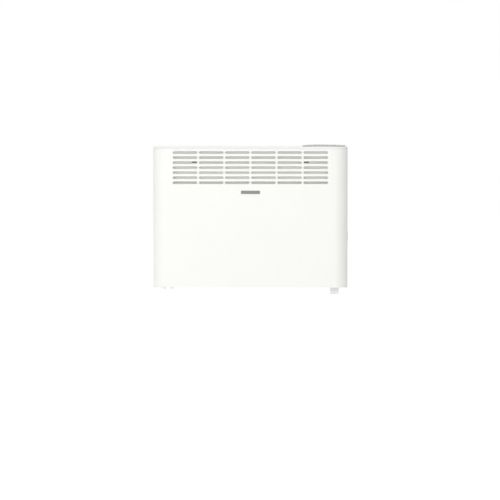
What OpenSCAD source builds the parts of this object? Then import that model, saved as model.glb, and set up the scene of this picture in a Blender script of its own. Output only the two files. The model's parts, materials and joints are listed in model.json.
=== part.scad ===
// Wall convector heater on its wall bracket with two spring catches, in millimetres.
// The origin is on the wall, at the centre of the four wall screws.
// X runs to the right, Y into the wall and Z up.

/* [Casing] */
// Width of the casing
casing_w = 582; // [560:1:700]
// Height of the front sheet, from its lower edge to the seam under the top cover
front_h = 414.5; // [405:0.1:440]
// Depth of the casing
casing_d = 100; // [94:1:120]
// Outer radius of the two upright front corners
corner_r = 38; // [24:1:42]
// Thickness of the painted sheet steel
sheet_t = 1.2; // [0.8:0.1:1.6]
// Slope of the top down towards the front, in degrees
top_slope = 4.5; // [3:0.1:7]
// Open seam between the casing and the pieces on top of it
seam_gap = 0.5; // [0.4:0.1:1.2]
// Width of the flanges turned in along the rear edges
rear_flange = 14; // [12:1:20]
// Width of the flange turned in along the lower edge
lower_flange = 10; // [8:1:16]
// Thickness of the rear panel
panel_t = 1; // [0.8:0.1:1.5]
// Depth of the skirts that the top pieces put inside the casing
skirt_h = 5; // [4:0.5:5.5]
// Clearance between sheets that slide into one another
fit = 0.3; // [0.2:0.05:0.5]

/* [Air outlet] */
// Number of slots in a row
slot_cols = 6; // [4:1:6]
// Number of rows of slots
slot_rows = 7; // [4:1:8]
// Length of a slot
slot_l = 72.5; // [60:0.5:74]
// Height of a slot
slot_h = 7.6; // [5:0.1:9]
// Width of the web between two slots in a row
web_w = 5.5; // [4:0.1:7]
// Height from one row of slots to the next
row_pitch = 15; // [13:0.5:17]
// Drop from the seam to the middle of the top row
grille_drop = 11.2; // [11:0.1:20]
// Depth of the collar drawn inwards round each slot
collar_d = 3; // [2:0.5:5]
// Thickness of that collar
collar_t = 0.9; // [0.7:0.1:1.2]

/* [Wall bracket] */
// Distance from the wall to the back of the casing
wall_gap = 23; // [22:0.5:30]
// Thickness of the bracket's sheet steel
bracket_t = 1.5; // [1.2:0.1:2]
// Distance between the wall screws, across and up
screw_span = 300; // [260:5:310]
// Height of the middle of the wall screws above the casing's lower edge
mount_h = 200; // [195:1:205]
// Radius of the holes for the wall screws
screw_r = 3.5; // [2.5:0.1:4]
// Width of the two uprights
upright_w = 34; // [24:1:44]
// Height of the lower rail
lower_rail_h = 32; // [28:1:40]
// Height of the upper rail
upper_rail_h = 46; // [40:1:50]
// Drop of the left pair of fingers below the casing
finger_drop = 6.5; // [2:0.5:12]
// Width of the outer finger of the left pair
outer_finger_w = 10; // [8:0.5:12]
// Width of the inner finger of the left pair
inner_finger_w = 12; // [9:0.5:14]
// Distance between the middles of the left pair of fingers
finger_pitch = 22.2; // [20:0.1:26]
// Distance from the casing's left side to the middle of the pair
finger_in = 43.7; // [38:0.1:60]
// Width of the hook nose on each finger
nose_w = 7; // [5:0.5:7.5]

/* [Catches] */
// Width of a catch
catch_w = 16.5; // [12:0.5:17]
// Distance from the end of the slot to the middle of a catch
catch_in = 8.5; // [8:0.5:14]
// Radius of a catch's pin
pin_r = 2; // [1.5:0.1:2.4]
// Running clearance round the pins, on the radius
pin_play = 0.08; // [0.05:0.01:0.1]
// How far the barb stands over the edge of its window
barb_h = 2.4; // [1.5:0.1:3]
// Angle through which a catch is pressed to let go, in degrees
catch_swing = 12; // [10:1:14]

/* [Control unit] */
// Width of the control unit, in from the casing's right side
pod_w = 137; // [125:1:150]
// Height of its highest line over the seam plane
pod_h = 6.3; // [5:0.1:9]
// Radius of the camber across its top
camber_r = 1700; // [1400:10:3000]
// Distance from the right side to the highest line of the camber
peak_in = 81; // [60:1:100]
// Radius of its rounded right end
pod_end_r = 4.6; // [3:0.1:4.8]
// Radius of its rear left corner, seen from above
pod_corner_r = 36; // [12:1:40]
// Width of the strip of top cover left behind it
pod_back = 4; // [3:0.5:8]
// Thickness of its outer walls
pod_wall = 2; // [1.5:0.1:2.5]
// Thickness of the dark window
window_t = 1.6; // [1.2:0.1:2]
// Width of the rim round the window
rim_w = 2; // [1.5:0.1:3]
// Radius of a key
key_r = 5; // [4:0.1:5.5]
// Distance from key to key
key_pitch = 24; // [16:0.5:26]
// Height of the keys over the window
key_rise = 0.5; // [0.3:0.1:1]
// Gap round a key in its hole
key_gap = 0.35; // [0.3:0.05:0.6]

/* [Mains switch] */
// Height of the switch's bezel
bezel_h = 26.5; // [25:0.5:30]
// Width of the bezel
bezel_w = 15; // [14:0.5:18]
// How far the bezel stands out from the casing
bezel_t = 2; // [1.5:0.1:3]
// Height of the middle of the switch above the casing's lower edge
switch_up = 153; // [110:0.5:180]
// Distance from the back of the casing to the middle of the switch
switch_in = 28; // [24:0.5:40]
// Length of the rocker
rocker_l = 17; // [15:0.5:18]
// Angle through which the rocker swings, in degrees
rocker_swing = 16; // [10:1:18]

/* [Cord entry] */
// Width of the hood under the casing
hood_w = 24.5; // [24:0.5:30]
// Depth of the hood from front to back
hood_d = 36; // [30:0.5:40]
// How far the hood reaches below the casing
hood_drop = 21.3; // [16:0.1:26]
// Distance from the casing's right side to the middle of the hood
hood_in = 38.5; // [28:0.5:39]
// Distance from the back of the casing to the middle of the hood
hood_back = 46; // [44:0.5:60]
// Radius of the hole for the cord
cord_r = 4.25; // [3.5:0.05:4.5]

/* [Heating element] */
// Width of the bays at the two ends of the air duct
bay_w = 52; // [50:1:54]
// Outer radius of the sheathed tube
tube_r = 4; // [3:0.1:5]
// Distance between the two runs of the tube
run_gap = 34; // [26:1:38]
// Height of the element's middle above the casing's lower edge
element_up = 78; // [60:1:100]
// Distance from fin to fin
fin_pitch = 8; // [6:0.5:14]
// Thickness of a fin
fin_t = 0.8; // [0.5:0.1:1.2]
// Depth of a fin from front to back
fin_d = 60; // [54:1:66]
// Height of a fin
fin_h = 38; // [24:1:50]

/* [Hidden] */

// Faces of a full turn on the large and on the small round shapes
round_fn = 72;
small_fn = 36;
// Reach of a cut past the face that it opens
over = 1;
// Clearance of a hole round the round piece in it, on the radius
hole_fit = 0.1;

white_paint = "#f4f4f0";
white_plastic = "#efefea";
zinc = "#c4c7c8";
aluminium = "#d4d6d8";
dark_plastic = "#3a3c3f";

half_w = casing_w / 2;
rear_y = -wall_gap;
front_y = rear_y - casing_d;
front_inner_y = front_y + sheet_t;
panel_back_y = rear_y - sheet_t;
panel_front_y = panel_back_y - panel_t;
rear_seam_h = front_h + casing_d * tan(top_slope);
panel_top_h = rear_seam_h - skirt_h - fit;

// Screws of the casing: head, shank and places
screw_head_r = 3.6;
screw_head_t = 2;
screw_head_draft = 0.8;
screw_shank_r = 1.7;
screw_l = 7;
rear_screw_hs = [for (share = [0.12, 0.5, 0.88]) share * panel_top_h];
base_screw_ys = [for (share = [0.18, 0.44]) rear_y - share * casing_d];

// The grille lies on the lower flange
grille_t = 1.2;
floor_h = sheet_t + grille_t;
slot_pitch = slot_l + web_w;
top_row_h = front_h - grille_drop;

// The catches are just outboard of the web beside the end slot, and are reached through the third row
catch_x = (slot_cols / 2 - 1) * slot_pitch + web_w / 2 + catch_in;
catch_row_h = top_row_h - 2 * row_pitch;
catch_arm_t = 4;
catch_hub_r = pin_r + 2.2;
catch_tab_t = 3;
catch_tail = 8;
catch_reach = 15;
barb_land = 1.5;
barb_ramp = 7;
barb_gap = 0.5;
pin_y = -12;
pin_h = catch_row_h + 9.5;
pin_head_r = pin_r + 1;
pin_head_t = 1;
catch_tip_y = panel_front_y - catch_reach;
barb_back_y = panel_front_y - barb_gap;
window_top_h = pin_h + catch_arm_t / 2 + 1.5;
window_low_h = pin_h - 12;
hole_gap = 1.5;

// Leaf springs: their feet clear the tail of a pressed catch
spring_w = 6;
spring_t = 0.6;
spring_foot_l = 9;
spring_lean = 1.2;
spring_y = pin_y + 5;
spring_foot_h = pin_h + catch_arm_t / 2 + catch_tail * sin(catch_swing) + 0.4;

// Rails of the bracket, their ears for the pins and the fingers with their noses
ear_gap = catch_w / 2 + 0.5;
ear_r = pin_r + 3;
lip_low_h = window_low_h - 4;
strip_front_y = -wall_gap + 1.5;
upper_rail_top = pin_h + 13;
upper_rail_half = catch_x + 28;
lower_rail_low = 10;
lower_rail_top = lower_rail_low + lower_rail_h;
nose_h = 19.5;
nose_tip_h = 5.5;
nose_reach = 6.5;
nose_hole_h = 9;
right_finger_w = hood_w - 2;
left_pair_x = -half_w + finger_in;
hood_x = half_w - hood_in;
finger_xs = [left_pair_x - finger_pitch / 2, left_pair_x + finger_pitch / 2, hood_x];
finger_ws = [outer_finger_w, inner_finger_w, right_finger_w];
lower_rail_x0 = finger_xs[0] - outer_finger_w / 2;
lower_rail_x1 = finger_xs[2] + right_finger_w / 2;

// Bays at the ends of the duct, and the notch that keeps the partitions clear of the noses
bay_x = half_w - bay_w;
partition_t = 1;
partition_flange = 9;
partition_foot = 26;
notch_d = nose_reach + 5;
notch_top_h = nose_h + nose_tip_h + 4;

// Deflector: a foot on the rear panel, a shelf up to the knee, then steeply up behind the slots
deflector_t = 0.8;
deflector_foot = 14;
deflector_gap = 1;
knee_h = top_row_h - (slot_rows - 1) * row_pitch - slot_h / 2 - 11;
knee_in = 10;
knee_y = front_inner_y + knee_in;
shelf_drop = 34;
shelf_low_h = knee_h - shelf_drop;
deflector_top_h = top_row_h + slot_h / 2 + collar_t + 1;
deflector_front_y = front_inner_y + collar_d + deflector_gap;
lip_front_y = front_inner_y + fit + pod_wall + 0.2;
blade_slot_h = 2.8;
blade_slot_up = 0.2;

// Heat shield in front of the element
shield_gap = 9;
shield_t = 0.6;
shield_ear = 10;
shield_low_h = 24;
shield_drop = 42;
shield_top_h = knee_h - shield_drop;

// Element: two runs of tube, their fins, bracket, bushes and terminals
element_y = (panel_front_y + front_inner_y + shield_gap) / 2;
run_ys = [element_y - run_gap / 2, element_y + run_gap / 2];
bend_gap = 5;
bend_x = -bay_x + partition_t + tube_r + run_gap / 2 + bend_gap;
bracket_x = bend_x + 10;
bracket_foot = 9;
fins_from = bracket_x + 10;
fins_to = bay_x - 30;
fin_count = floor((fins_to - fins_from) / fin_pitch);
sleeve_t = 0.8;
sleeve_fit = 0.05;
bush_r = tube_r + 3;
bush_lip = 2;
bush_lip_t = 4;
bush_l = 9;
terminal_x = bay_x + 14;
terminal_pin_r = 1.5;
terminal_pin_l = 6;
push_tab = [8, 6.3, 0.8];

// Cut-out in the partition, with its two terminals
limit_r = 7.5;
limit_l = 10;
limit_rise = 62;
limit_up = element_up + limit_rise;
limit_ear = [7, 25];
limit_tab_w = 4.8;
limit_plate_t = 1;

// Room sensor: clip, stem and bead
sensor_in = 12;
sensor_clip = [8, 8, 2];
sensor_stem_r = 1.6;
sensor_bead_r = 2.4;
sensor_up = 10;

// The power board stands on edge in the right bay, off the partition
standoff_l = 8;
standoff_r = 3;
standoff_in = 6;
standoff_pin_r = 1.5;
standoff_tip_r = 2.4;
standoff_tip_t = 1.6;
board_x = bay_x + partition_t + standoff_l;
board_size = [70, 78];
board_rise = 0.6;
board_y = (panel_front_y + front_inner_y - board_size[0]) / 2;
board_h = board_rise * (front_h - board_size[1]);

// Parts on the power board, as places along it and up it, then sizes
relay_at = [14, 12];
relay_size = [15, 13, 29];
capacitor_at = [36, 12];
capacitor_size = [12, 10, 26];
choke_at = [54, 34];
choke_r = 5;
choke_l = 16;
plug_at = [30, 52];
plug_size = [12, 32, 10];
fuse_at = [12, 62];
fuse_r = 2.6;
fuse_l = 14;
fuse_up = 3.5;
fuse_clip = [5, 2, 6];

// Terminal block: base, raised body, and a screw well with wire ways for each pole
block_at = [bay_x + partition_flange + 0.5, rear_y - 34, floor_h];
block_base = [30, 20, 8];
block_body = [30, 12, 15];
block_poles = 3;
well_r = 2.6;
well_h = 7;
wire_way = [4, 24, 4];

// Control unit: places across and back from the front edge, heights square to the seam plane
pod_x0 = half_w - pod_w;
pod_mid_x = half_w - pod_w / 2;
peak_x = half_w - peak_in;
window_gap = 0.15;
ledge_t = 1;
ledge_w = 3;
pcb_t = 1.6;
pcb_v = -7;
pcb_front = 11;
pcb_back = 87;
pcb_side = 4;
pcb_w = pod_w - 10;
pcb_notch = [38, 20];
boss_left_in = 6.5;
boss_right_in = [46, 9];
boss_ys = [16, 50, 80];
boss_places = [
    [pod_x0 + boss_left_in, boss_ys[0]], [pod_x0 + boss_left_in, boss_ys[1]],
    [half_w - boss_right_in[0], boss_ys[0]], [half_w - boss_right_in[1], boss_ys[2]]
];
boss_r = 3.2;
boss_hole_r = 1.2;
boss_rib_t = 2;
boss_screw_r = 1.15;
boss_screw_l = 6.5;
boss_screw_head = [1.6, 2.3, 1.6];
lcd_size = [58, 26];
lcd_y = 58;
key_y = 25;
key_xs = [for (i = [0:3]) pod_mid_x + (i - 1.5) * key_pitch];
key_flange_r = key_r + 1.3;
key_flange_t = 1;
key_stem_r = 1.5;
key_clear = 0.3;
key_travel = 0.7;
tact_w = 6;
tact_h = 3.4;
tact_knob = [1.7, 1];

// Mains switch
switch_y = rear_y - switch_in;
switch_body = [20, 12.4, 22];
rocker_w = 9.4;
rocker_side_gap = 0.3;
rocker_end_gap = 0.35;
rocker_axis_in = 3;
rocker_back = 3.5;
rocker_rise = 3.9;
rocker_valley = 2.7;
trunnion_r = 1.4;
trunnion_l = switch_body[1] - 1.2;
trunnion_play = 0.2;
cavity_d = 9;
switch_tab = [7, 0.8, 4.8];
switch_tab_y = 3;
switch_tab_h = 5;

// Hood with its two posts, and the clamp that they carry
hood_y = rear_y - hood_back;
hood_wall = 2;
hood_edge_r = 8;
hood_floor_t = 4;
hood_screw_x = hood_w / 2 - 4.5;
cord_hole_r = cord_r + 1;
clamp_post_r = 3;
clamp_bar_w = hood_w - 2 * (hood_wall + fit);
clamp_low = -2;
clamp_size = [16, 3];
clamp_screw_l = 4;
clamp_screw_head = [2.8, 2, 1.6];

// Rows of intake slots in the grille
intake_rows = 6;
intake_pitch = 11;
intake_l = 64;
intake_w = 6;
intake_y = element_y - (intake_rows - 1) / 2 * intake_pitch;

// Height of the camber over the seam plane at a place across the control unit
function camber(x) = pod_h - camber_r + sqrt(pow(camber_r, 2) - pow(x - peak_x, 2));

// Y of the deflector's steep part at a height
function deflector_y(h) = knee_y + (deflector_front_y - knee_y) * (h - knee_h) / (deflector_top_h - knee_h);

// Moves from the casing's lower edge on the wall line to the part's origin
module from_edge() translate([0, 0, -mount_h]) children();

// Tilts children from a flat plane onto the seam plane, front edge at Y 0
module on_top() from_edge() translate([0, front_y, front_h]) rotate([top_slope, 0, 0]) children();

// Draws children, an outline in X and Z, from y towards the viewer
module towards_front(y, length) translate([0, y, 0]) rotate([90, 0, 0]) linear_extrude(length) children();

// Draws children, an outline in Y and Z, from x to the right
module to_right(x, length) translate([x, 0, 0]) rotate([90, 0, 90]) linear_extrude(length) children();

// Plan of the casing: square rear corners and round front ones
module outline(inset = 0) {
    r = corner_r - inset;
    w = half_w - inset;
    translate([-w, front_y + corner_r]) square([2 * w, casing_d - corner_r - inset]);
    translate([-w + r, front_y + inset]) square([2 * (w - r), corner_r]);
    for (side = [-1, 1])
        translate([side * (w - r), front_y + corner_r]) circle(r = r, $fn = round_fn);
}

// A ring of the casing's plan between two insets
module outline_ring(outer, inner) difference() {
    outline(outer);
    outline(inner);
}

// The slab between two heights over the seam plane
module top_slab(low, high) on_top() translate([-casing_w, -casing_d, low])
    cube([2 * casing_w, 3 * casing_d, high - low]);

// An upright prism of children, tall enough for the whole casing
module upright_prism() from_edge() linear_extrude(front_h + casing_d) children();

// A slot with round ends, lying along X
module stadium(l, h) {
    square([l - h, h], center = true);
    for (side = [-1, 1]) translate([side * (l - h) / 2, 0]) circle(r = h / 2, $fn = small_fn);
}

// Puts children at the middle of each outlet slot
module at_slots() for (row = [0:slot_rows - 1], col = [0:slot_cols - 1])
    translate([(col - (slot_cols - 1) / 2) * slot_pitch, 0, top_row_h - row * row_pitch]) children();

// A pan-head screw along Y: the head's seat is at Y 0 and the shank runs towards the viewer
module screw_to_front(shank) {
    rotate([90, 0, 0]) cylinder(r = screw_shank_r, h = shank, $fn = small_fn);
    rotate([-90, 0, 0])
        cylinder(r1 = screw_head_r, r2 = screw_head_r - screw_head_draft, h = screw_head_t, $fn = small_fn);
}

// Places of the screws that join the rear panel to the casing's rear flanges
module at_rear_screws() for (side = [-1, 1], h = rear_screw_hs)
    translate([side * (half_w - sheet_t - rear_flange / 2), rear_y, h]) children();

// Places of the screws that join the bottom grille to the casing's lower flange
module at_base_screws() for (side = [-1, 1], y = base_screw_ys)
    translate([side * (half_w - sheet_t - lower_flange / 2), y, 0]) children();

// Sheet of one rail, seen from its end: a channel open downwards that stands on the wall
module rail_section(low, top, lip_low) {
    translate([-bracket_t, low]) square([bracket_t, top - low]);
    translate([strip_front_y, top - bracket_t]) square([-strip_front_y, bracket_t]);
    translate([strip_front_y, lip_low]) square([bracket_t, top - lip_low]);
}

// Hook nose of a finger, seen from its end
module nose_section() {
    translate([strip_front_y - nose_reach, nose_h - bracket_t]) square([nose_reach + bracket_t, bracket_t]);
    translate([strip_front_y - nose_reach, nose_h - bracket_t]) square([bracket_t, nose_tip_h + bracket_t]);
}

module bracket_frame() color(zinc) from_edge() difference() {
    union() {
        for (side = [-1, 1])
            translate([side * screw_span / 2 - upright_w / 2, -bracket_t, lower_rail_low])
                cube([upright_w, bracket_t, upper_rail_top - lower_rail_low]);
        to_right(-upper_rail_half, 2 * upper_rail_half)
            rail_section(upper_rail_top - upper_rail_h, upper_rail_top, lip_low_h);
        to_right(lower_rail_x0, lower_rail_x1 - lower_rail_x0)
            rail_section(lower_rail_low, lower_rail_top, lower_rail_low);
        for (i = [0:1]) translate([finger_xs[i] - finger_ws[i] / 2, strip_front_y, -finger_drop])
            cube([finger_ws[i], bracket_t, lower_rail_low + finger_drop]);
        for (x = finger_xs) to_right(x - nose_w / 2, nose_w) nose_section();
        for (side = [-1, 1], ear = [-1, 1])
            to_right(side * catch_x + ear * ear_gap - (ear < 0 ? bracket_t : 0), bracket_t) {
                translate([pin_y, pin_h]) circle(r = ear_r, $fn = small_fn);
                translate([pin_y - ear_r, pin_h]) square([2 * ear_r, upper_rail_top - pin_h]);
            }
    }
    for (side = [-1, 1], up = [-1, 1])
        translate([side * screw_span / 2, over, mount_h + up * screw_span / 2])
            rotate([90, 0, 0]) cylinder(r = screw_r, h = bracket_t + 2 * over, $fn = small_fn);
    for (side = [-1, 1]) {
        translate([side * catch_x - ear_gap, strip_front_y - over, lip_low_h - over])
            cube([2 * ear_gap, bracket_t + 2 * over, window_top_h + barb_h + 2 * over - lip_low_h]);
        translate([side * catch_x - ear_gap - 2 * bracket_t, pin_y, pin_h]) rotate([0, 90, 0])
            cylinder(r = pin_r, h = 2 * ear_gap + 4 * bracket_t, $fn = small_fn);
    }
}

module catch_pins() color(zinc) from_edge() for (side = [-1, 1]) {
    translate([side * catch_x - ear_gap - bracket_t, pin_y, pin_h]) rotate([0, 90, 0])
        cylinder(r = pin_r, h = 2 * (ear_gap + bracket_t), $fn = small_fn);
    for (end = [-1, 1])
        translate([side * catch_x + end * (ear_gap + bracket_t + pin_head_t / 2), pin_y, pin_h])
            rotate([0, 90, 0]) cylinder(r = pin_head_r, h = pin_head_t, center = true, $fn = small_fn);
}

// Leaf spring under the web of the rail, in its pressed shape over the tail of its catch
module catch_springs() color(zinc) from_edge() for (side = [-1, 1])
    to_right(side * catch_x - spring_w / 2, spring_w) {
        translate([spring_y - spring_foot_l, upper_rail_top - bracket_t - spring_t])
            square([spring_foot_l, spring_t]);
        polygon([
            [spring_y - spring_t, upper_rail_top - bracket_t], [spring_y, upper_rail_top - bracket_t],
            [spring_y + spring_lean, spring_foot_h], [spring_y + spring_lean - spring_t, spring_foot_h]
        ]);
    }

// A catch, seen from its end: hub on the pin, arm through the rear panel, barb and release tab
module catch_section() {
    translate([pin_y, pin_h]) circle(r = catch_hub_r, $fn = small_fn);
    translate([catch_tip_y, pin_h - catch_arm_t / 2]) square([pin_y + catch_tail - catch_tip_y, catch_arm_t]);
    translate([catch_tip_y, catch_row_h]) square([catch_tab_t, pin_h - catch_row_h]);
    polygon([
        [barb_back_y, pin_h], [barb_back_y, window_top_h + barb_h],
        [barb_back_y - barb_land, window_top_h + barb_h], [barb_back_y - barb_ramp, pin_h]
    ]);
}

module catch_piece(side) color(dark_plastic) from_edge() difference() {
    to_right(side * catch_x - catch_w / 2, catch_w) catch_section();
    translate([side * catch_x - catch_w, pin_y, pin_h]) rotate([0, 90, 0])
        cylinder(r = pin_r + pin_play, h = 2 * catch_w, $fn = small_fn);
}
module catch_left() catch_piece(-1);
module catch_right() catch_piece(1);

module front_casing() color(white_paint) difference() {
    union() {
        upright_prism() difference() {
            outline_ring(0, sheet_t);
            translate([-half_w + sheet_t + rear_flange, rear_y - 2 * sheet_t])
                square([casing_w - 2 * (sheet_t + rear_flange), 3 * sheet_t]);
        }
        from_edge() linear_extrude(sheet_t) difference() {
            outline_ring(0, sheet_t + lower_flange);
            translate([-half_w + sheet_t + lower_flange, rear_y - lower_flange - 2 * sheet_t])
                square([casing_w - 2 * (sheet_t + lower_flange), lower_flange + 3 * sheet_t]);
        }
        from_edge() at_slots() towards_front(front_inner_y + collar_d, collar_d + sheet_t / 2)
            stadium(slot_l + 2 * collar_t, slot_h + 2 * collar_t);
    }
    top_slab(0, casing_d);
    from_edge() {
        at_slots() towards_front(front_inner_y + collar_d + over, collar_d + sheet_t + 2 * over)
            stadium(slot_l, slot_h);
        at_rear_screws() rotate([90, 0, 0]) translate([0, 0, -over])
            cylinder(r = screw_shank_r, h = sheet_t + 2 * over, $fn = small_fn);
        at_base_screws() translate([0, 0, -over])
            cylinder(r = screw_shank_r, h = sheet_t + 2 * over, $fn = small_fn);
        translate([half_w - 2 * sheet_t, switch_y - switch_body[1] / 2, switch_up - switch_body[2] / 2])
            cube([3 * sheet_t, switch_body[1], switch_body[2]]);
    }
}

// Plan of the control unit, inside the casing's plan
module pod_plan(inset = 0) intersection() {
    outline(inset);
    union() {
        r = pod_corner_r - inset;
        left = pod_x0 + inset;
        back = rear_y - pod_back - inset;
        translate([left, front_y - over]) square([pod_w + over, back - r - front_y + over]);
        translate([left + r, front_y - over]) square([pod_w + over, back - front_y + over]);
        translate([left + r, back - r]) circle(r = r, $fn = round_fn);
    }
}

// Everything under the camber of the control unit, lowered by drop
module camber_bar(drop) on_top() translate([peak_x, 2 * casing_d, pod_h - camber_r - drop]) rotate([90, 0, 0])
    cylinder(r = camber_r, h = 3 * casing_d, $fn = 720);

// What the rounding of the right end takes off
module pod_end_cut() on_top() towards_front(2 * casing_d, 3 * casing_d) difference() {
    end_v = camber(half_w - pod_end_r) - pod_end_r;
    translate([half_w - pod_end_r, end_v]) square(2 * pod_end_r);
    translate([half_w - pod_end_r, end_v]) circle(r = pod_end_r, $fn = round_fn);
}

// Plan of the dark window, inside the rim of the control unit
module window_plan(inset = 0) intersection() {
    pod_plan(rim_w + inset);
    translate([0, front_y]) square([half_w - pod_end_r - rim_w - inset, casing_d]);
}

module top_cover() color(white_paint) difference() {
    union() {
        intersection() {
            top_slab(seam_gap, seam_gap + sheet_t);
            upright_prism() outline();
        }
        intersection() {
            top_slab(-skirt_h, seam_gap + sheet_t / 2);
            upright_prism() outline_ring(sheet_t + fit, 2 * sheet_t + fit);
        }
    }
    upright_prism() pod_plan(-fit);
}

module rear_panel() color(white_paint) from_edge() difference() {
    translate([-half_w + sheet_t + fit, panel_front_y, sheet_t])
        cube([casing_w - 2 * (sheet_t + fit), panel_t, panel_top_h - sheet_t]);
    for (x = finger_xs) translate([x - nose_w / 2 - hole_gap, panel_front_y - over, nose_h - nose_hole_h])
        cube([nose_w + 2 * hole_gap, panel_t + 2 * over, nose_hole_h]);
    for (side = [-1, 1])
        translate([side * catch_x - catch_w / 2 - hole_gap, panel_front_y - over, window_low_h])
            cube([catch_w + 2 * hole_gap, panel_t + 2 * over, window_top_h - window_low_h]);
    at_rear_screws() rotate([90, 0, 0])
        cylinder(r = screw_shank_r, h = 3 * sheet_t + panel_t, $fn = small_fn);
}

module rear_screws() color(zinc) from_edge() at_rear_screws() screw_to_front(screw_l);

module base_screws() color(zinc) from_edge() at_base_screws() rotate([-90, 0, 0]) screw_to_front(screw_l);

// Sheet with the intake slots, lying on the lower flange
module bottom_grille() color(zinc) from_edge() difference() {
    translate([0, 0, sheet_t]) linear_extrude(grille_t) difference() {
        outline(sheet_t + fit);
        translate([-half_w, panel_front_y]) square([casing_w, casing_d]);
        for (row = [0:intake_rows - 1], col = [0:slot_cols - 1])
            translate([(col - (slot_cols - 1) / 2) * slot_pitch, intake_y + row * intake_pitch])
                stadium(intake_l, intake_w);
        translate([hood_x, hood_y]) circle(r = cord_hole_r, $fn = small_fn);
    }
    at_base_screws() cylinder(r = screw_shank_r, h = 3 * sheet_t, $fn = small_fn);
    for (side = [-1, 1]) translate([hood_x + side * hood_screw_x, hood_y, 0])
        cylinder(r = screw_shank_r, h = 3 * sheet_t, $fn = small_fn);
}

// Side wall of the air duct, seen from its end, with its top edge under the deflector
module partition_section() polygon([
    [panel_front_y - notch_d, floor_h], [panel_front_y - notch_d, notch_top_h],
    [panel_front_y, notch_top_h], [panel_front_y, shelf_low_h - deflector_gap],
    [knee_y, knee_h - deflector_gap], [deflector_front_y, deflector_top_h - deflector_gap],
    [lip_front_y, deflector_top_h - deflector_gap], [lip_front_y, floor_h]
]);

// side is -1 on the left: the flanges turn outwards into the bay
module partition(side) {
    flange_x = side > 0 ? bay_x : -bay_x - partition_flange;
    to_right(side > 0 ? bay_x : -bay_x - partition_t, partition_t) partition_section();
    translate([flange_x, panel_front_y - partition_t, notch_top_h])
        cube([partition_flange, partition_t, shelf_low_h - notch_top_h - deflector_gap]);
    translate([flange_x, panel_front_y - notch_d - partition_foot, floor_h])
        cube([partition_flange, partition_foot, partition_t]);
}

module left_partition() color(zinc) from_edge() partition(-1);

module right_partition() color(zinc) from_edge() difference() {
    partition(1);
    for (y = run_ys) translate([bay_x - over, y, element_up]) rotate([0, 90, 0])
        cylinder(r = bush_r, h = partition_t + 2 * over, $fn = small_fn);
    translate([bay_x - over, element_y, limit_up]) rotate([0, 90, 0])
        cylinder(r = limit_r, h = partition_t + 2 * over, $fn = small_fn);
}

// Sheet that leads the warm air forward to the slots, with a blade slot in front of each catch
module air_deflector() color(white_paint) from_edge() difference() {
    to_right(-bay_x + fit, 2 * (bay_x - fit)) polygon([
        [panel_front_y, shelf_low_h - deflector_foot], [panel_front_y, shelf_low_h + deflector_t],
        [knee_y + deflector_t, knee_h + deflector_t],
        [deflector_front_y + deflector_t, deflector_top_h + deflector_t],
        [lip_front_y, deflector_top_h + deflector_t], [lip_front_y, deflector_top_h],
        [deflector_front_y, deflector_top_h], [knee_y, knee_h],
        [panel_front_y - deflector_t, shelf_low_h],
        [panel_front_y - deflector_t, shelf_low_h - deflector_foot]
    ]);
    blade_slot_y = deflector_y(catch_row_h) - 2 * over;
    for (side = [-1, 1]) translate([side * catch_x - catch_w / 2, blade_slot_y, catch_row_h + blade_slot_up])
        cube([catch_w, deflector_t + 4 * over, blade_slot_h]);
}

// Bright sheet that keeps the heat off the front, hung between the two partitions
module front_heat_shield() color(aluminium) from_edge() {
    shield_y = front_inner_y + shield_gap;
    shield_h = shield_top_h - shield_low_h;
    translate([-bay_x + fit, shield_y, shield_low_h]) cube([2 * (bay_x - fit), shield_t, shield_h]);
    for (x = [-bay_x + fit, bay_x - fit - shield_t])
        translate([x, shield_y, shield_low_h]) cube([shield_t, shield_ear, shield_h]);
}

// The two runs and the bend of the sheathed tube, with a thin pin and a tab at each end
module element_tube() color("#8d8f90") from_edge() {
    for (y = run_ys) translate([bend_x, y, element_up]) rotate([0, 90, 0]) {
        cylinder(r = tube_r, h = terminal_x - bend_x, $fn = small_fn);
        cylinder(r = terminal_pin_r, h = terminal_x - bend_x + terminal_pin_l, $fn = small_fn);
        translate([0, 0, terminal_x - bend_x + terminal_pin_l + push_tab[0] / 4])
            cube([push_tab[1], push_tab[2], push_tab[0]], center = true);
    }
    translate([bend_x, element_y, element_up]) rotate([0, 0, 90]) rotate_extrude(angle = 180, $fn = round_fn)
        translate([run_gap / 2, 0]) circle(r = tube_r, $fn = small_fn);
}

module element_fins() color(aluminium) from_edge() difference() {
    union() {
        for (i = [0:fin_count])
            translate([fins_from + i * fin_pitch, element_y - fin_d / 2, element_up - fin_h / 2])
                cube([fin_t, fin_d, fin_h]);
        for (y = run_ys) translate([fins_from, y, element_up]) rotate([0, 90, 0])
            cylinder(r = tube_r + sleeve_t, h = fin_count * fin_pitch + fin_t, $fn = small_fn);
    }
    for (y = run_ys) translate([fins_from - over, y, element_up]) rotate([0, 90, 0])
        cylinder(r = tube_r + sleeve_fit, h = fin_count * fin_pitch + fin_t + 2 * over, $fn = small_fn);
}

// Plate that carries the bend end of the tube, standing off the rear panel
module element_bracket() color(zinc) from_edge() difference() {
    union() {
        translate([bracket_x, element_y - fin_d / 2, element_up - fin_h / 2])
            cube([partition_t, panel_front_y - element_y + fin_d / 2, fin_h]);
        translate([bracket_x, panel_front_y - partition_t, element_up - fin_h / 2])
            cube([bracket_foot, partition_t, fin_h]);
    }
    for (y = run_ys) translate([bracket_x - over, y, element_up]) rotate([0, 90, 0])
        cylinder(r = tube_r + hole_fit, h = partition_t + 2 * over, $fn = small_fn);
}

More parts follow.
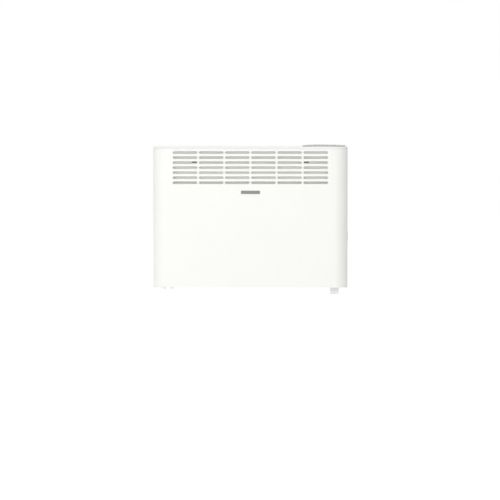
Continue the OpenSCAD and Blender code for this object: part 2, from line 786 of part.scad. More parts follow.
// Ceramic bushes in the right partition
module element_bushes() color("#e9e4d8") from_edge() for (y = run_ys)
    translate([bay_x - bush_lip_t, y, element_up]) rotate([0, 90, 0]) difference() {
        union() {
            cylinder(r = bush_r - sleeve_fit, h = bush_l, $fn = small_fn);
            cylinder(r = bush_r + bush_lip, h = bush_lip_t, $fn = small_fn);
        }
        translate([0, 0, -over]) cylinder(r = tube_r + hole_fit, h = bush_l + 2 * over, $fn = small_fn);
    }

module limit_thermostat() color(dark_plastic) from_edge() translate([bay_x, element_y, limit_up])
    rotate([0, 90, 0]) {
        translate([0, 0, -limit_plate_t]) {
            cylinder(r = limit_r - hole_fit, h = limit_l + limit_plate_t, $fn = small_fn);
            linear_extrude(limit_plate_t) {
                circle(r = limit_r + limit_plate_t, $fn = small_fn);
                square(limit_ear, center = true);
            }
        }
        for (side = [-1, 1]) translate([0, side * limit_r / 2, limit_l + push_tab[0] / 2 - over])
            cube([push_tab[2], limit_tab_w, push_tab[0]], center = true);
    }

// Thermistor bead in a clip that stands on the bottom grille in the right bay
module room_sensor() color(dark_plastic) from_edge()
    translate([bay_x + sensor_in, front_y + 2 * sensor_in, floor_h]) {
        translate([-sensor_clip[0] / 2, -sensor_clip[1] / 2, 0]) cube(sensor_clip);
        cylinder(r = sensor_stem_r, h = sensor_up, $fn = small_fn);
        translate([0, 0, sensor_up]) sphere(r = sensor_bead_r, $fn = small_fn);
    }

// The four standoffs between the partition and the power board
module at_standoffs() for (back = [-1, 1], up = [-1, 1]) translate([
        bay_x + partition_t, board_y + board_size[0] / 2 + back * (board_size[0] / 2 - standoff_in),
        board_h + board_size[1] / 2 + up * (board_size[1] / 2 - standoff_in)
    ]) rotate([0, 90, 0]) children();

module power_board() color("#2f6b45") from_edge() difference() {
    translate([board_x, board_y, board_h]) cube([pcb_t, board_size[0], board_size[1]]);
    at_standoffs() cylinder(r = standoff_pin_r + hole_fit, h = standoff_l + 2 * pcb_t, $fn = small_fn);
}

module board_standoffs() color("#e8e8e4") from_edge() at_standoffs() {
    cylinder(r = standoff_r, h = standoff_l, $fn = small_fn);
    cylinder(r = standoff_pin_r, h = standoff_l + pcb_t, $fn = small_fn);
    translate([0, 0, standoff_l + pcb_t])
        cylinder(r1 = standoff_tip_r, r2 = standoff_pin_r, h = standoff_tip_t, $fn = small_fn);
}

// Puts children at a place on the face of the power board
module on_board(at) translate([board_x + pcb_t, board_y + at[0], board_h + at[1]]) children();

// Relay, film capacitor, choke, plug row and fuse on the power board
module board_parts() color("#2b2d30") from_edge() {
    on_board(relay_at) cube(relay_size);
    on_board(capacitor_at) cube(capacitor_size);
    on_board(choke_at) rotate([0, 90, 0]) cylinder(r = choke_r, h = choke_l, $fn = small_fn);
    on_board(plug_at) cube(plug_size);
    on_board(fuse_at) {
        translate([fuse_up, 0, 0]) rotate([-90, 0, 0])
            cylinder(r = fuse_r, h = fuse_l, $fn = small_fn);
        for (y = [over, fuse_l - fuse_clip[1] - over])
            translate([0, y, -fuse_clip[2] / 2]) cube(fuse_clip);
    }
}

module terminal_block() color("#d9d7cc") from_edge()
    translate(block_at) difference() {
        union() {
            cube(block_base);
            translate([0, (block_base[1] - block_body[1]) / 2, 0]) cube(block_body);
        }
        for (i = [0:block_poles - 1])
            translate([(i + 0.5) * block_base[0] / block_poles, block_base[1] / 2, well_h]) {
                cylinder(r = well_r, h = block_body[2], $fn = small_fn);
                translate([-wire_way[0] / 2, -wire_way[1] / 2, 0]) cube(wire_way);
            }
    }

// Shell of the control unit, open below, with a recess and a ledge for the window
module pod_shell() difference() {
    intersection() {
        upright_prism() pod_plan();
        camber_bar(0);
        top_slab(seam_gap, casing_d);
    }
    pod_end_cut();
    intersection() {
        upright_prism() pod_plan(sheet_t + fit + pod_wall);
        camber_bar(window_t + ledge_t);
    }
    difference() {
        upright_prism() window_plan(-window_gap);
        camber_bar(window_t);
    }
    upright_prism() window_plan(ledge_w);
}

// Skirt of the control unit, inside the casing's walls and beside the top cover's
module pod_skirt() intersection() {
    top_slab(-skirt_h, seam_gap + sheet_t / 2);
    upright_prism() difference() {
        pod_plan(sheet_t + fit);
        pod_plan(sheet_t + fit + pod_wall);
    }
}

// Columns that carry the control board and the window
module pod_bosses() difference() {
    intersection() {
        on_top() {
            for (p = boss_places) translate([p[0], p[1], pcb_v + pcb_t])
                cylinder(r = boss_r, h = 3 * skirt_h, $fn = small_fn);
            translate([boss_places[2][0] - boss_rib_t / 2, 0, pcb_v + pcb_t])
                cube([boss_rib_t, boss_places[2][1], 3 * skirt_h]);
        }
        camber_bar(window_t);
        upright_prism() pod_plan(sheet_t + fit);
    }
    on_top() for (p = boss_places) translate([p[0], p[1], pcb_v])
        cylinder(r = boss_hole_r, h = -pcb_v, $fn = small_fn);
}

module control_housing() color(white_plastic) {
    pod_shell();
    pod_skirt();
    pod_bosses();
}

module display_window() color("#1b1d20") difference() {
    intersection() {
        upright_prism() window_plan();
        camber_bar(0);
    }
    camber_bar(window_t);
    for (x = key_xs) key_shaft(x, key_r + key_gap);
}

// A shaft square to the seam plane at the place of a key
module key_shaft(x, r) on_top() translate([x, key_y, -skirt_h])
    cylinder(r = r, h = 3 * skirt_h, $fn = small_fn);

module lcd_module() color("#9aa59a") on_top() {
    low_v = pcb_v + pcb_t;
    top_v = camber(pod_mid_x + lcd_size[0] / 2) - window_t - key_clear;
    translate([pod_mid_x - lcd_size[0] / 2, lcd_y - lcd_size[1] / 2, low_v])
        cube([lcd_size[0], lcd_size[1], top_v - low_v]);
}

module control_board() color("#2f6b45") difference() {
    on_top() translate([0, 0, pcb_v]) linear_extrude(pcb_t) difference() {
        translate([pod_x0 + pcb_side, pcb_front]) square([pcb_w, pcb_back - pcb_front]);
        translate([half_w - pcb_notch[0], pcb_front - over]) square(pcb_notch);
        translate([pod_x0, pcb_back - pod_corner_r / 2]) square(pod_corner_r / 2 + over);
    }
    on_top() for (p = boss_places) translate([p[0], p[1], pcb_v - over])
        cylinder(r = boss_hole_r + hole_fit, h = pcb_t + 2 * over, $fn = small_fn);
}

module control_screws() color(zinc) on_top() for (p = boss_places) translate([p[0], p[1], pcb_v]) {
    cylinder(r = boss_screw_r, h = boss_screw_l, $fn = small_fn);
    translate([0, 0, -boss_screw_head[2]])
        cylinder(r1 = boss_screw_head[0], r2 = boss_screw_head[1], h = boss_screw_head[2], $fn = small_fn);
}

module tact_switches() color("#2b2d30") on_top() for (x = key_xs) translate([x, key_y, pcb_v + pcb_t]) {
    translate([-tact_w / 2, -tact_w / 2, 0]) cube([tact_w, tact_w, tact_h - tact_knob[1]]);
    cylinder(r = tact_knob[0], h = tact_h, $fn = small_fn);
}

// A key: cap through the window, flange under it and stem down to its switch
module key_piece(i) color("#e6e6e2") on_top() translate([key_xs[i], key_y, 0]) {
    top_v = camber(key_xs[i]);
    flange_v = min(camber(key_xs[i] - key_flange_r), camber(key_xs[i] + key_flange_r)) - window_t - key_clear;
    foot_v = pcb_v + pcb_t + tact_h + key_travel + hole_fit;
    translate([0, 0, flange_v - key_flange_t])
        cylinder(r = key_r, h = top_v + key_rise - flange_v + key_flange_t, $fn = small_fn);
    translate([0, 0, flange_v - key_flange_t]) cylinder(r = key_flange_r, h = key_flange_t, $fn = small_fn);
    translate([0, 0, foot_v]) cylinder(r = key_stem_r, h = flange_v - foot_v, $fn = small_fn);
}
module key_menu() key_piece(0);
module key_ok() key_piece(1);
module key_minus() key_piece(2);
module key_plus() key_piece(3);

module switch_housing() color(white_plastic) from_edge()
    translate([half_w, switch_y, switch_up]) difference() {
        union() {
            translate([0, -bezel_w / 2, -bezel_h / 2]) cube([bezel_t, bezel_w, bezel_h]);
            translate([-switch_body[0], -switch_body[1] / 2, -switch_body[2] / 2])
                cube([switch_body[0] + bezel_t / 2, switch_body[1], switch_body[2]]);
        }
        translate([-cavity_d, -rocker_w / 2 - rocker_side_gap, -rocker_l / 2 - rocker_end_gap])
            cube([cavity_d + bezel_t + over, rocker_w + 2 * rocker_side_gap, rocker_l + 2 * rocker_end_gap]);
        translate([-rocker_axis_in, 0, 0]) rotate([90, 0, 0]) cylinder(
            r = trunnion_r + pin_play, h = trunnion_l + 2 * trunnion_play, center = true, $fn = small_fn);
    }

// Four flat terminals at the back of the mains switch
module switch_tabs() color("#c9a86a") from_edge()
    for (back = [-1, 1], up = [-1, 1]) translate([
        half_w - switch_body[0] - switch_tab[0],
        switch_y + back * switch_tab_y - switch_tab[1] / 2,
        switch_up + up * switch_tab_h - switch_tab[2] / 2
    ]) cube(switch_tab);

// The rocker, seen along its axis, between the switch's two positions
module rocker_section() intersection() {
    circle(r = rocker_l / 2, $fn = round_fn);
    polygon([
        [-rocker_back, -rocker_l / 2], [rocker_rise, -rocker_l / 2], [rocker_valley, 0],
        [rocker_rise, rocker_l / 2], [-rocker_back, rocker_l / 2]
    ]);
}

module mains_rocker() color(white_plastic) from_edge()
    translate([half_w - rocker_axis_in, switch_y, switch_up]) rotate([90, 0, 0]) rotate(-rocker_swing / 2) {
        linear_extrude(rocker_w, center = true) rocker_section();
        cylinder(r = trunnion_r, h = trunnion_l, center = true, $fn = small_fn);
    }

// The hood up to a height, seen from its end, with a round lower front edge
module hood_section(inset, top) {
    r = hood_edge_r - inset;
    low = -hood_drop + inset;
    front = hood_y - hood_d / 2 + inset;
    depth = hood_d - 2 * inset;
    translate([front, low + r]) square([depth, top - low - r]);
    translate([front + r, low]) square([depth - r, r]);
    translate([front + r, low + r]) circle(r = r, $fn = small_fn);
}

module cable_hood() color(white_plastic) from_edge() difference() {
    to_right(hood_x - hood_w / 2, hood_w) hood_section(0, sheet_t);
    difference() {
        to_right(hood_x - hood_w / 2 + hood_wall, hood_w - 2 * hood_wall)
            hood_section(hood_wall, sheet_t + over);
        translate([hood_x - hood_w, hood_y - hood_d, -hood_drop])
            cube([2 * hood_w, 2 * hood_d, hood_floor_t]);
        for (side = [-1, 1]) translate([hood_x + side * hood_screw_x, hood_y, -hood_drop])
            cylinder(r = clamp_post_r, h = hood_drop + clamp_low, $fn = small_fn);
    }
    translate([hood_x, hood_y, -hood_drop - over]) cylinder(r = cord_r, h = hood_drop, $fn = small_fn);
}

module cord_clamp() color(dark_plastic) from_edge() difference() {
    translate([hood_x - clamp_bar_w / 2, hood_y - clamp_size[0] / 2, clamp_low])
        cube([clamp_bar_w, clamp_size[0], clamp_size[1]]);
    translate([hood_x, hood_y, clamp_low - over])
        cylinder(r = cord_r, h = clamp_size[1] + 2 * over, $fn = small_fn);
    for (side = [-1, 1]) translate([hood_x + side * hood_screw_x, hood_y, clamp_low - over])
        cylinder(r = screw_shank_r, h = clamp_size[1] + 2 * over, $fn = small_fn);
}

module clamp_screws() color(zinc) from_edge() for (side = [-1, 1])
    translate([hood_x + side * hood_screw_x, hood_y, floor_h]) {
        translate([0, 0, -clamp_screw_l])
            cylinder(r = screw_shank_r - hole_fit, h = clamp_screw_l, $fn = small_fn);
        cylinder(r1 = clamp_screw_head[0], r2 = clamp_screw_head[1], h = clamp_screw_head[2], $fn = small_fn);
    }

bracket_frame();
catch_pins();
catch_springs();
catch_left();
catch_right();
front_casing();
top_cover();
rear_panel();
bottom_grille();
rear_screws();
base_screws();
left_partition();
right_partition();
air_deflector();
front_heat_shield();
element_tube();
element_fins();
element_bracket();
element_bushes();
limit_thermostat();
room_sensor();
power_board();
board_standoffs();
board_parts();
terminal_block();
control_housing();
display_window();
lcd_module();
control_board();
tact_switches();
control_screws();
key_menu();
key_ok();
key_minus();
key_plus();
switch_housing();
switch_tabs();
mains_rocker();
cable_hood();
cord_clamp();
clamp_screws();
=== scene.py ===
import json
import logging
import math
from contextlib import contextmanager
from dataclasses import dataclass, field
from enum import Enum
from typing import Callable, Iterator, Optional

import bmesh
import bpy
from mathutils import Matrix, Vector

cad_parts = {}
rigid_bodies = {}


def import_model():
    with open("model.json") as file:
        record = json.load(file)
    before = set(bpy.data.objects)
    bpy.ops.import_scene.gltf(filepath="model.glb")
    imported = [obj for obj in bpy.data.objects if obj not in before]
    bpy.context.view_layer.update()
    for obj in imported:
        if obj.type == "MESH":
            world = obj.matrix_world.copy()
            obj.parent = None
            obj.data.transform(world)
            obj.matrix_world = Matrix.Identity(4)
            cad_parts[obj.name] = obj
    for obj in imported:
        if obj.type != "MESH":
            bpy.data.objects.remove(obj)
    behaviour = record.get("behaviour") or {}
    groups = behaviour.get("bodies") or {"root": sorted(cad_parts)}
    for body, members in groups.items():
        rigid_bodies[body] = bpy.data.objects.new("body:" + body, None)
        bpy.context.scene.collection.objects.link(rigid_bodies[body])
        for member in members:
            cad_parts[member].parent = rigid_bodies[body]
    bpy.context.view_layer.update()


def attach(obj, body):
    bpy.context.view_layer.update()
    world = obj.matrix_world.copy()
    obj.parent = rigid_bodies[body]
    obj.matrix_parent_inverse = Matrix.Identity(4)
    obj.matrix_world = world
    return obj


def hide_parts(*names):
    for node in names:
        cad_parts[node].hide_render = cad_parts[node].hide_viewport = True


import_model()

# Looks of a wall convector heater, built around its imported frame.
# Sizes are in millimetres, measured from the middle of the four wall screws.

logging.basicConfig(level=logging.INFO, format="%(message)s")
LOG = logging.getLogger("heater")

MM = 0.001
BODY = "heater"
Material = bpy.types.Material
Node = bpy.types.Node
Socket = bpy.types.NodeSocket
Point = tuple[float, float, float]
PickTest = Callable[[Vector, Vector], bool]

# How near a place counts as on a plane, in millimetres.
NEAR = 0.01
# The size under which edges and faces are closed up, in millimetres.
SLIVER = 0.001
# How far blocks that are cut to shape later reach beyond it, in millimetres.
OVER = 40.0
# The least cosines for a face that counts as square to a direction, and for an edge that runs along one.
SQUARE = 0.999
ALONG = 0.9
# How near a cut passes to a point that it takes as its own, in metres.
CUT_NEAR = 1e-7

# Edges flatter than this angle are shaded smooth, and large faces weigh this much, from 1 to 100.
SMOOTH_UNDER = math.radians(40)
AREA_WEIGHT = 80
# The radius from which an upright corner is large, and the steps of large and of small ones.
LARGE = 10.0
LARGE_STEPS = 16
SMALL_STEPS = 5

WHITE = (1.0, 1.0, 1.0, 1.0)
ORIGIN = Vector((0, 0, 0))
TO_RIGHT = Vector((1, 0, 0))
TO_WALL = Vector((0, 1, 0))
UPWARDS = Vector((0, 0, 1))


class Axis(Enum):
    """The turn that points a rod, or the normal of a plane, along a direction."""

    X = (0.0, math.pi / 2, 0.0)
    Y = (math.pi / 2, 0.0, 0.0)
    Z = (0.0, 0.0, 0.0)


class Cut(Enum):
    """What a Boolean modifier does with its second piece."""

    ADD = "UNION"
    TAKE_AWAY = "DIFFERENCE"
    KEEP_SHARED = "INTERSECT"


def linear(code: str) -> tuple[float, float, float, float]:
    """Turns an sRGB hex colour into linear RGBA.

    Args:
        code: the colour, such as "#f4f4f0".

    Returns:
        Linear red, green, blue and alpha.
    """
    channels = [int(code[i:i + 2], 16) / 255 for i in (1, 3, 5)]
    lin = [c / 12.92 if c <= 0.04045 else ((c + 0.055) / 1.055) ** 2.4 for c in channels]
    return (lin[0], lin[1], lin[2], 1.0)


def everything(middle: Vector, way: Vector) -> bool:
    """Picks every face or edge."""
    return True


def in_plane(direction: Vector, distance: float) -> PickTest:
    """Makes a test that picks what lies in a plane square to a direction, so far from the origin."""
    return lambda middle, way: abs(middle.dot(direction) - distance) < NEAR


def facing(direction: Vector, distance: Optional[float] = None) -> PickTest:
    """Makes a test that picks faces which look in a direction, anywhere or so far from the origin."""
    level = everything if distance is None else in_plane(direction, distance)
    return joined(lambda middle, normal: normal.dot(direction) > SQUARE, level)


def running(direction: Vector) -> PickTest:
    """Makes a test that picks the edges along a direction."""
    return lambda middle, way: abs(way.dot(direction)) > ALONG


def joined(*tests: PickTest) -> PickTest:
    """Makes a test that picks only what all of some tests pick."""
    return lambda middle, way: all(test(middle, way) for test in tests)


def inset(thickness: float, depth: float = 0) -> None:
    """Draws the borders of the selected faces in, and the faces out of their plane by depth."""
    bpy.ops.mesh.inset(thickness=thickness * MM, depth=depth * MM)


def draw_out(by: Point) -> None:
    """Draws the selection out by a distance in millimetres."""
    bpy.ops.mesh.extrude_region_move(TRANSFORM_OT_translate={"value": [c * MM for c in by]})


def drop_faces() -> None:
    """Deletes the selected faces."""
    bpy.ops.mesh.delete(type="FACE")


def clear_selection() -> None:
    """Deselects every object."""
    for obj in bpy.context.view_layer.objects:
        obj.select_set(False)


@dataclass(frozen=True)
class Casing:
    """Sizes of the casing that the other pieces share."""

    width: float = 582.0
    depth: float = 100.0
    back: float = -23.0
    low: float = -200.0
    front_height: float = 414.5
    corner: float = 38.0
    sheet: float = 1.2
    fit: float = 0.3
    seam_gap: float = 0.5
    slope: float = math.radians(4.5)
    switch_along: float = -51.0
    switch_up: float = -47.0
    switch_hole: tuple[float, float] = (12.4, 22.0)

    @property
    def half(self) -> float:
        """Half of the width."""
        return self.width / 2

    @property
    def front(self) -> float:
        """Y of the front face."""
        return self.back - self.depth

    @property
    def front_corners(self) -> dict[tuple[int, int], float]:
        """The radii of the two upright front corners, keyed as upright wants them."""
        return {(-1, -1): self.corner, (1, -1): self.corner}

    @property
    def seam_z(self) -> float:
        """Z of the seam plane at the front face."""
        return self.low + self.front_height

    @property
    def up(self) -> Vector:
        """The direction square to the seam plane."""
        return Vector((0, -math.sin(self.slope), math.cos(self.slope)))

    def on_seam(self, x: float, along: float, above: float) -> Vector:
        """Gives the place at x, a way along the slope from the front face, and a height above the seam."""
        base = Vector((x, self.front, self.seam_z))
        return base + along * Vector((0, math.cos(self.slope), math.sin(self.slope))) + above * self.up


CASING = Casing()


class Workpiece:
    """One mesh object while it is modelled with Blender's operators."""

    def __init__(self, name: str) -> None:
        """Takes hold of the primitive that was just added.

        Args:
            name: the name of the piece.
        """
        self.obj = bpy.context.active_object
        self.obj.name = name
        self.obj.data.name = name
        self.settle()

    @classmethod
    def block(cls, name: str, low: Point, high: Point) -> "Workpiece":
        """Starts a piece from a cube.

        Args:
            name: the name of the piece.
            low: the lowest corner.
            high: the highest corner.

        Returns:
            The new piece.
        """
        clear_selection()
        middle = [(a + b) / 2 * MM for a, b in zip(low, high)]
        bpy.ops.mesh.primitive_cube_add(size=1, location=middle)
        bpy.context.active_object.scale = [(b - a) * MM for a, b in zip(low, high)]
        return cls(name)

    @classmethod
    def rod(cls, name: str, middle: Point, radius: float, length: float, axis: Axis = Axis.Z,
            sides: int = 48) -> "Workpiece":
        """Starts a piece from a cylinder.

        Args:
            name: the name of the piece.
            middle: the middle of the cylinder.
            radius: its radius.
            length: its length.
            axis: the direction it runs in.
            sides: the number of its sides.

        Returns:
            The new piece.
        """
        clear_selection()
        bpy.ops.mesh.primitive_cylinder_add(
            vertices=sides, radius=radius * MM, depth=length * MM,
            location=[c * MM for c in middle], rotation=axis.value)
        return cls(name)

    def hold(self) -> None:
        """Selects this object alone and makes it active."""
        clear_selection()
        self.obj.select_set(True)
        bpy.context.view_layer.objects.active = self.obj

    def settle(self) -> None:
        """Puts the object's place, turn and size into its mesh."""
        self.hold()
        bpy.ops.object.transform_apply(location=True, rotation=True, scale=True)

    @contextmanager
    def editing(self, faces: Optional[PickTest] = None, edges: Optional[PickTest] = None) -> Iterator[None]:
        """Opens edit mode with the wanted faces or edges selected.

        Args:
            faces: picks a face by its middle, in millimetres, and its normal.
            edges: picks an edge by its middle, in millimetres, and its direction.

        Yields:
            Nothing: the operators act on the selection.
        """
        self.hold()
        bpy.ops.object.mode_set(mode="EDIT")
        bpy.ops.mesh.select_mode(type="FACE" if faces else "EDGE")
        bpy.ops.mesh.select_all(action="DESELECT")
        mesh = bmesh.from_edit_mesh(self.obj.data)
        if faces:
            for face in mesh.faces:
                if faces(face.calc_center_median() / MM, face.normal):
                    face.select_set(True)
        if edges:
            for edge in mesh.edges:
                a, b = (v.co for v in edge.verts)
                if edges((a + b) / 2 / MM, (b - a).normalized()):
                    edge.select_set(True)
        mesh.select_flush_mode()
        bmesh.update_edit_mesh(self.obj.data)
        yield
        bpy.ops.object.mode_set(mode="OBJECT")

    def round_edges(self, edges: PickTest, radius: float, segments: int) -> "Workpiece":
        """Rounds the edges that a test picks.

        Args:
            edges: the test.
            radius: the radius of the rounding.
            segments: the number of its steps.

        Returns:
            This piece.
        """
        with self.editing(edges=edges):
            bpy.ops.mesh.bevel(offset=radius * MM, segments=segments, affect="EDGES", clamp_overlap=False)
        return self

    def slice(self, place: Vector, normal: Vector, fill: bool = True) -> "Workpiece":
        """Cuts away what lies beyond a plane, on the side to which its normal points.

        Args:
            place: a point in the plane.
            normal: its normal.
            fill: whether the cut is closed with a face.

        Returns:
            This piece.
        """
        with self.editing(faces=everything):
            bpy.ops.mesh.bisect(plane_co=place * MM, plane_no=normal, use_fill=fill, clear_outer=True,
                                threshold=CUT_NEAR)
        return self

    def score(self, place: Vector, normal: Vector, faces: PickTest = everything) -> None:
        """Adds the line along which a plane meets the picked faces."""
        with self.editing(faces=faces):
            bpy.ops.mesh.bisect(plane_co=place * MM, plane_no=normal, threshold=CUT_NEAR)

    def modify(self, kind: str, **settings: object) -> "Workpiece":
        """Adds a modifier and applies it.

        Args:
            kind: Blender's name for the modifier.
            settings: the modifier's settings.

        Returns:
            This piece.
        """
        self.hold()
        modifier = self.obj.modifiers.new(kind.title(), kind)
        for key, value in settings.items():
            setattr(modifier, key, value)
        bpy.ops.object.modifier_apply(modifier=modifier.name)
        return self

    def combine(self, other: "Workpiece", how: Cut) -> "Workpiece":
        """Combines the piece with another one, which is used up.

        Args:
            other: the other piece.
            how: what becomes of the two.

        Returns:
            This piece.
        """
        self.modify("BOOLEAN", operation=how.value, object=other.obj, solver="EXACT")
        other.discard()
        return self

    def soften(self, width: float, segments: int = 2, angle: float = 35.0) -> "Workpiece":
        """Rounds every edge whose faces meet at more than an angle in degrees."""
        return self.modify("BEVEL", width=width * MM, segments=segments, limit_method="ANGLE",
                           angle_limit=math.radians(angle))

    def soften_by_share(self, share: Callable[[Vector], float], width: float, segments: int,
                        angle: float) -> "Workpiece":
        """Rounds every edge sharper than an angle, each by its own share of one radius.

        Args:
            share: gives the share, from 0 to 1, for an edge's middle in millimetres.
            width: the full radius.
            segments: the number of its steps.
            angle: the least angle between two faces, in degrees.

        Returns:
            This piece.
        """
        mesh = bmesh.new()
        mesh.from_mesh(self.obj.data)
        shares = mesh.edges.layers.float.new("bevel_weight_edge")
        for edge in mesh.edges:
            if edge.calc_face_angle(0) > math.radians(angle):
                edge[shares] = share((edge.verts[0].co + edge.verts[1].co) / 2 / MM)
        mesh.to_mesh(self.obj.data)
        mesh.free()
        return self.modify("BEVEL", width=width * MM, segments=segments, limit_method="WEIGHT",
                           use_clamp_overlap=False)

    def move(self, by: Point) -> "Workpiece":
        """Moves the piece by a distance in millimetres.

        Args:
            by: the distance along each axis.

        Returns:
            This piece.
        """
        self.obj.location = [c * MM for c in by]
        self.settle()
        return self

    def turn(self, angle: float, axis: Point, about: Vector) -> "Workpiece":
        """Turns the piece about a line.

        Args:
            angle: the angle in radians.
            axis: the direction of the line.
            about: a point on the line, in millimetres.

        Returns:
            This piece.
        """
        centre = about * MM
        self.obj.matrix_world = (Matrix.Translation(centre) @ Matrix.Rotation(angle, 4, Vector(axis))
                                 @ Matrix.Translation(-centre))
        self.settle()
        return self

    def lean(self, about: Vector) -> "Workpiece":
        """Tips the piece with the slope of the seam plane, about a line across the casing."""
        return self.turn(CASING.slope, TO_RIGHT, about)

    def copied(self, name: str) -> "Workpiece":
        """Copies the piece with its own mesh.

        Args:
            name: the name of the copy.

        Returns:
            The copy.
        """
        self.hold()
        bpy.ops.object.duplicate()
        return Workpiece(name)

    def join(self, *others: "Workpiece") -> "Workpiece":
        """Takes other pieces into this one's mesh.

        Args:
            others: the other pieces, which are used up.

        Returns:
            This piece.
        """
        clear_selection()
        for other in others:
            other.obj.select_set(True)
        self.obj.select_set(True)
        bpy.context.view_layer.objects.active = self.obj
        bpy.ops.object.join()
        return self

    def merge(self) -> None:
        """Merges doubled points and turns the faces outwards."""
        with self.editing(faces=everything):
            bpy.ops.mesh.remove_doubles(threshold=NEAR * MM)
            bpy.ops.mesh.normals_make_consistent()

    def drop_slivers(self) -> None:
        """Closes up points and faces that are too small to show."""
        with self.editing(faces=everything):
            bpy.ops.mesh.remove_doubles(threshold=SLIVER * MM)
            bpy.ops.mesh.dissolve_degenerate(threshold=SLIVER * MM)

    def discard(self) -> None:
        """Deletes the piece."""
        mesh = self.obj.data
        bpy.data.objects.remove(self.obj, do_unlink=True)
        bpy.data.meshes.remove(mesh)

    def finish(self, finish: "Finish", slot: str, body: str = BODY, replaces: tuple[str, ...] = ()) -> None:
        """Smooths and dresses the piece, and makes it ride on its body.

        Args:
            finish: the finish of its surface.
            slot: the record's material slot that it stands for; not used.
            body: the body it moves with.
            replaces: the CAD nodes that it stands for.
        """
        self.drop_slivers()
        bpy.ops.object.shade_smooth_by_angle(angle=SMOOTH_UNDER, keep_sharp_edges=True)
        self.modify("WEIGHTED_NORMAL", mode="FACE_AREA", weight=AREA_WEIGHT, keep_sharp=True)
        self.obj.data.materials.clear()
        self.obj.data.materials.append(finish.material())
        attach(self.obj, body)
        if replaces:
            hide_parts(*replaces)
        LOG.info("%s: %d faces, on %s", self.obj.name, len(self.obj.data.polygons), body)


def upright(low: Point, high: Point, radii: dict[tuple[int, int], float], name: str) -> Workpiece:
    """Makes a block whose upright edges are rounded, each by its own radius.

    Args:
        low: the lowest corner.
        high: the highest corner.
        radii: the radius for each corner, keyed by the sides (x, y) it lies on, as -1 or 1.
        name: the name of the piece.

    Returns:
        The new piece.
    """
    piece = Workpiece.block(name, low, high)
    for (side_x, side_y), radius in radii.items():
        at_x = high[0] if side_x > 0 else low[0]
        at_y = high[1] if side_y > 0 else low[1]
        piece.round_edges(joined(in_plane(TO_RIGHT, at_x), in_plane(TO_WALL, at_y)), radius,
                          LARGE_STEPS if radius > LARGE else SMALL_STEPS)
    return piece


def feed(owner: bpy.types.ID, node: Node, inputs: dict) -> None:
    """Gives a node its inputs.

    Args:
        owner: the material or the world that the node is in.
        node: the node.
        inputs: for each input, by name or number, its value or the output that feeds it.
    """
    for key, value in inputs.items():
        if isinstance(value, Socket):
            owner.node_tree.links.new(value, node.inputs[key])
        else:
            node.inputs[key].default_value = value


def add_node(owner: bpy.types.ID, kind: str, inputs: Optional[dict] = None, **settings: object) -> Node:
    """Adds a shader node.

    Args:
        owner: the material or the world that gets the node.
        kind: the node's type, without its ShaderNode prefix.
        inputs: its inputs, as in feed.
        settings: its own properties.

    Returns:
        The node.
    """
    node = owner.node_tree.nodes.new("ShaderNode" + kind)
    for key, value in settings.items():
        setattr(node, key, value)
    feed(owner, node, inputs or {})
    return node


def blend(owner: bpy.types.ID, operation: str, first: object, second: object) -> Socket:
    """Adds a maths node on two values or outputs, and gives its result."""
    return add_node(owner, "Math", {0: first, 1: second}, operation=operation).outputs[0]


class Paint:
    """A new material and its shader, while a finish adds its pattern to them."""

    def __init__(self, name: str) -> None:
        """Starts the material.

        Args:
            name: the name of the material.
        """
        self.material = bpy.data.materials.new(name)
        self.material.use_nodes = True
        self.shader = self.material.node_tree.nodes["Principled BSDF"]

    def place(self) -> Socket:
        """Gives the output that holds the place on the object, in metres."""
        return add_node(self.material, "TexCoord").outputs["Object"]

    def texture(self, kind: str, size: float, place: Optional[Socket] = None, **settings: object) -> Node:
        """Adds a texture whose features have a size in millimetres."""
        inputs = {"Vector": place or self.place(), "Scale": 1 / (size * MM)}
        return add_node(self.material, kind, inputs, **settings)

    def noise(self, size: float, detail: float = 2.0, place: Optional[Socket] = None) -> Socket:
        """Adds noise with some finer layers, and gives its value from 0 to 1.

        Args:
            size: the size of its largest features, in millimetres.
            detail: the number of finer layers.
            place: the place that it follows, or None for the place on the object.

        Returns:
            The noise's value.
        """
        noise = self.texture("TexNoise", size, place)
        noise.inputs["Detail"].default_value = detail
        return noise.outputs["Fac"]

    def tint(self, pattern: Socket, stops: list[tuple[float, str]]) -> Socket:
        """Colours the surface by a ramp along a pattern.

        Args:
            pattern: the pattern, from 0 to 1.
            stops: positions and sRGB hex colours, in order.

        Returns:
            The colour.
        """
        node = add_node(self.material, "ValToRGB", {"Fac": pattern})
        ramp = node.color_ramp
        while len(ramp.elements) < len(stops):
            ramp.elements.new(1.0)
        for element, (position, code) in zip(ramp.elements, stops):
            element.position = position
            element.color = linear(code)
        feed(self.material, self.shader, {"Base Color": node.outputs["Color"]})
        return node.outputs["Color"]

    def relief(self, height: Socket, depth: float, share: float) -> None:
        """Raises the surface along a pattern, by a real depth in millimetres of which a share shows.

        Args:
            height: the pattern, from 0 to 1.
            depth: the depth between its two ends.
            share: the share of the depth that shows.
        """
        bump = add_node(self.material, "Bump", {
            "Height": height, "Distance": depth * MM, "Strength": share})
        feed(self.material, self.shader, {"Normal": bump.outputs["Normal"]})

    def spread(self, noise: Socket, low: float, high: float) -> None:
        """Lets the roughness wander between two values along a noise."""
        span = add_node(self.material, "MapRange", {"Value": noise, "To Min": low, "To Max": high})
        feed(self.material, self.shader, {"Roughness": span.outputs["Result"]})


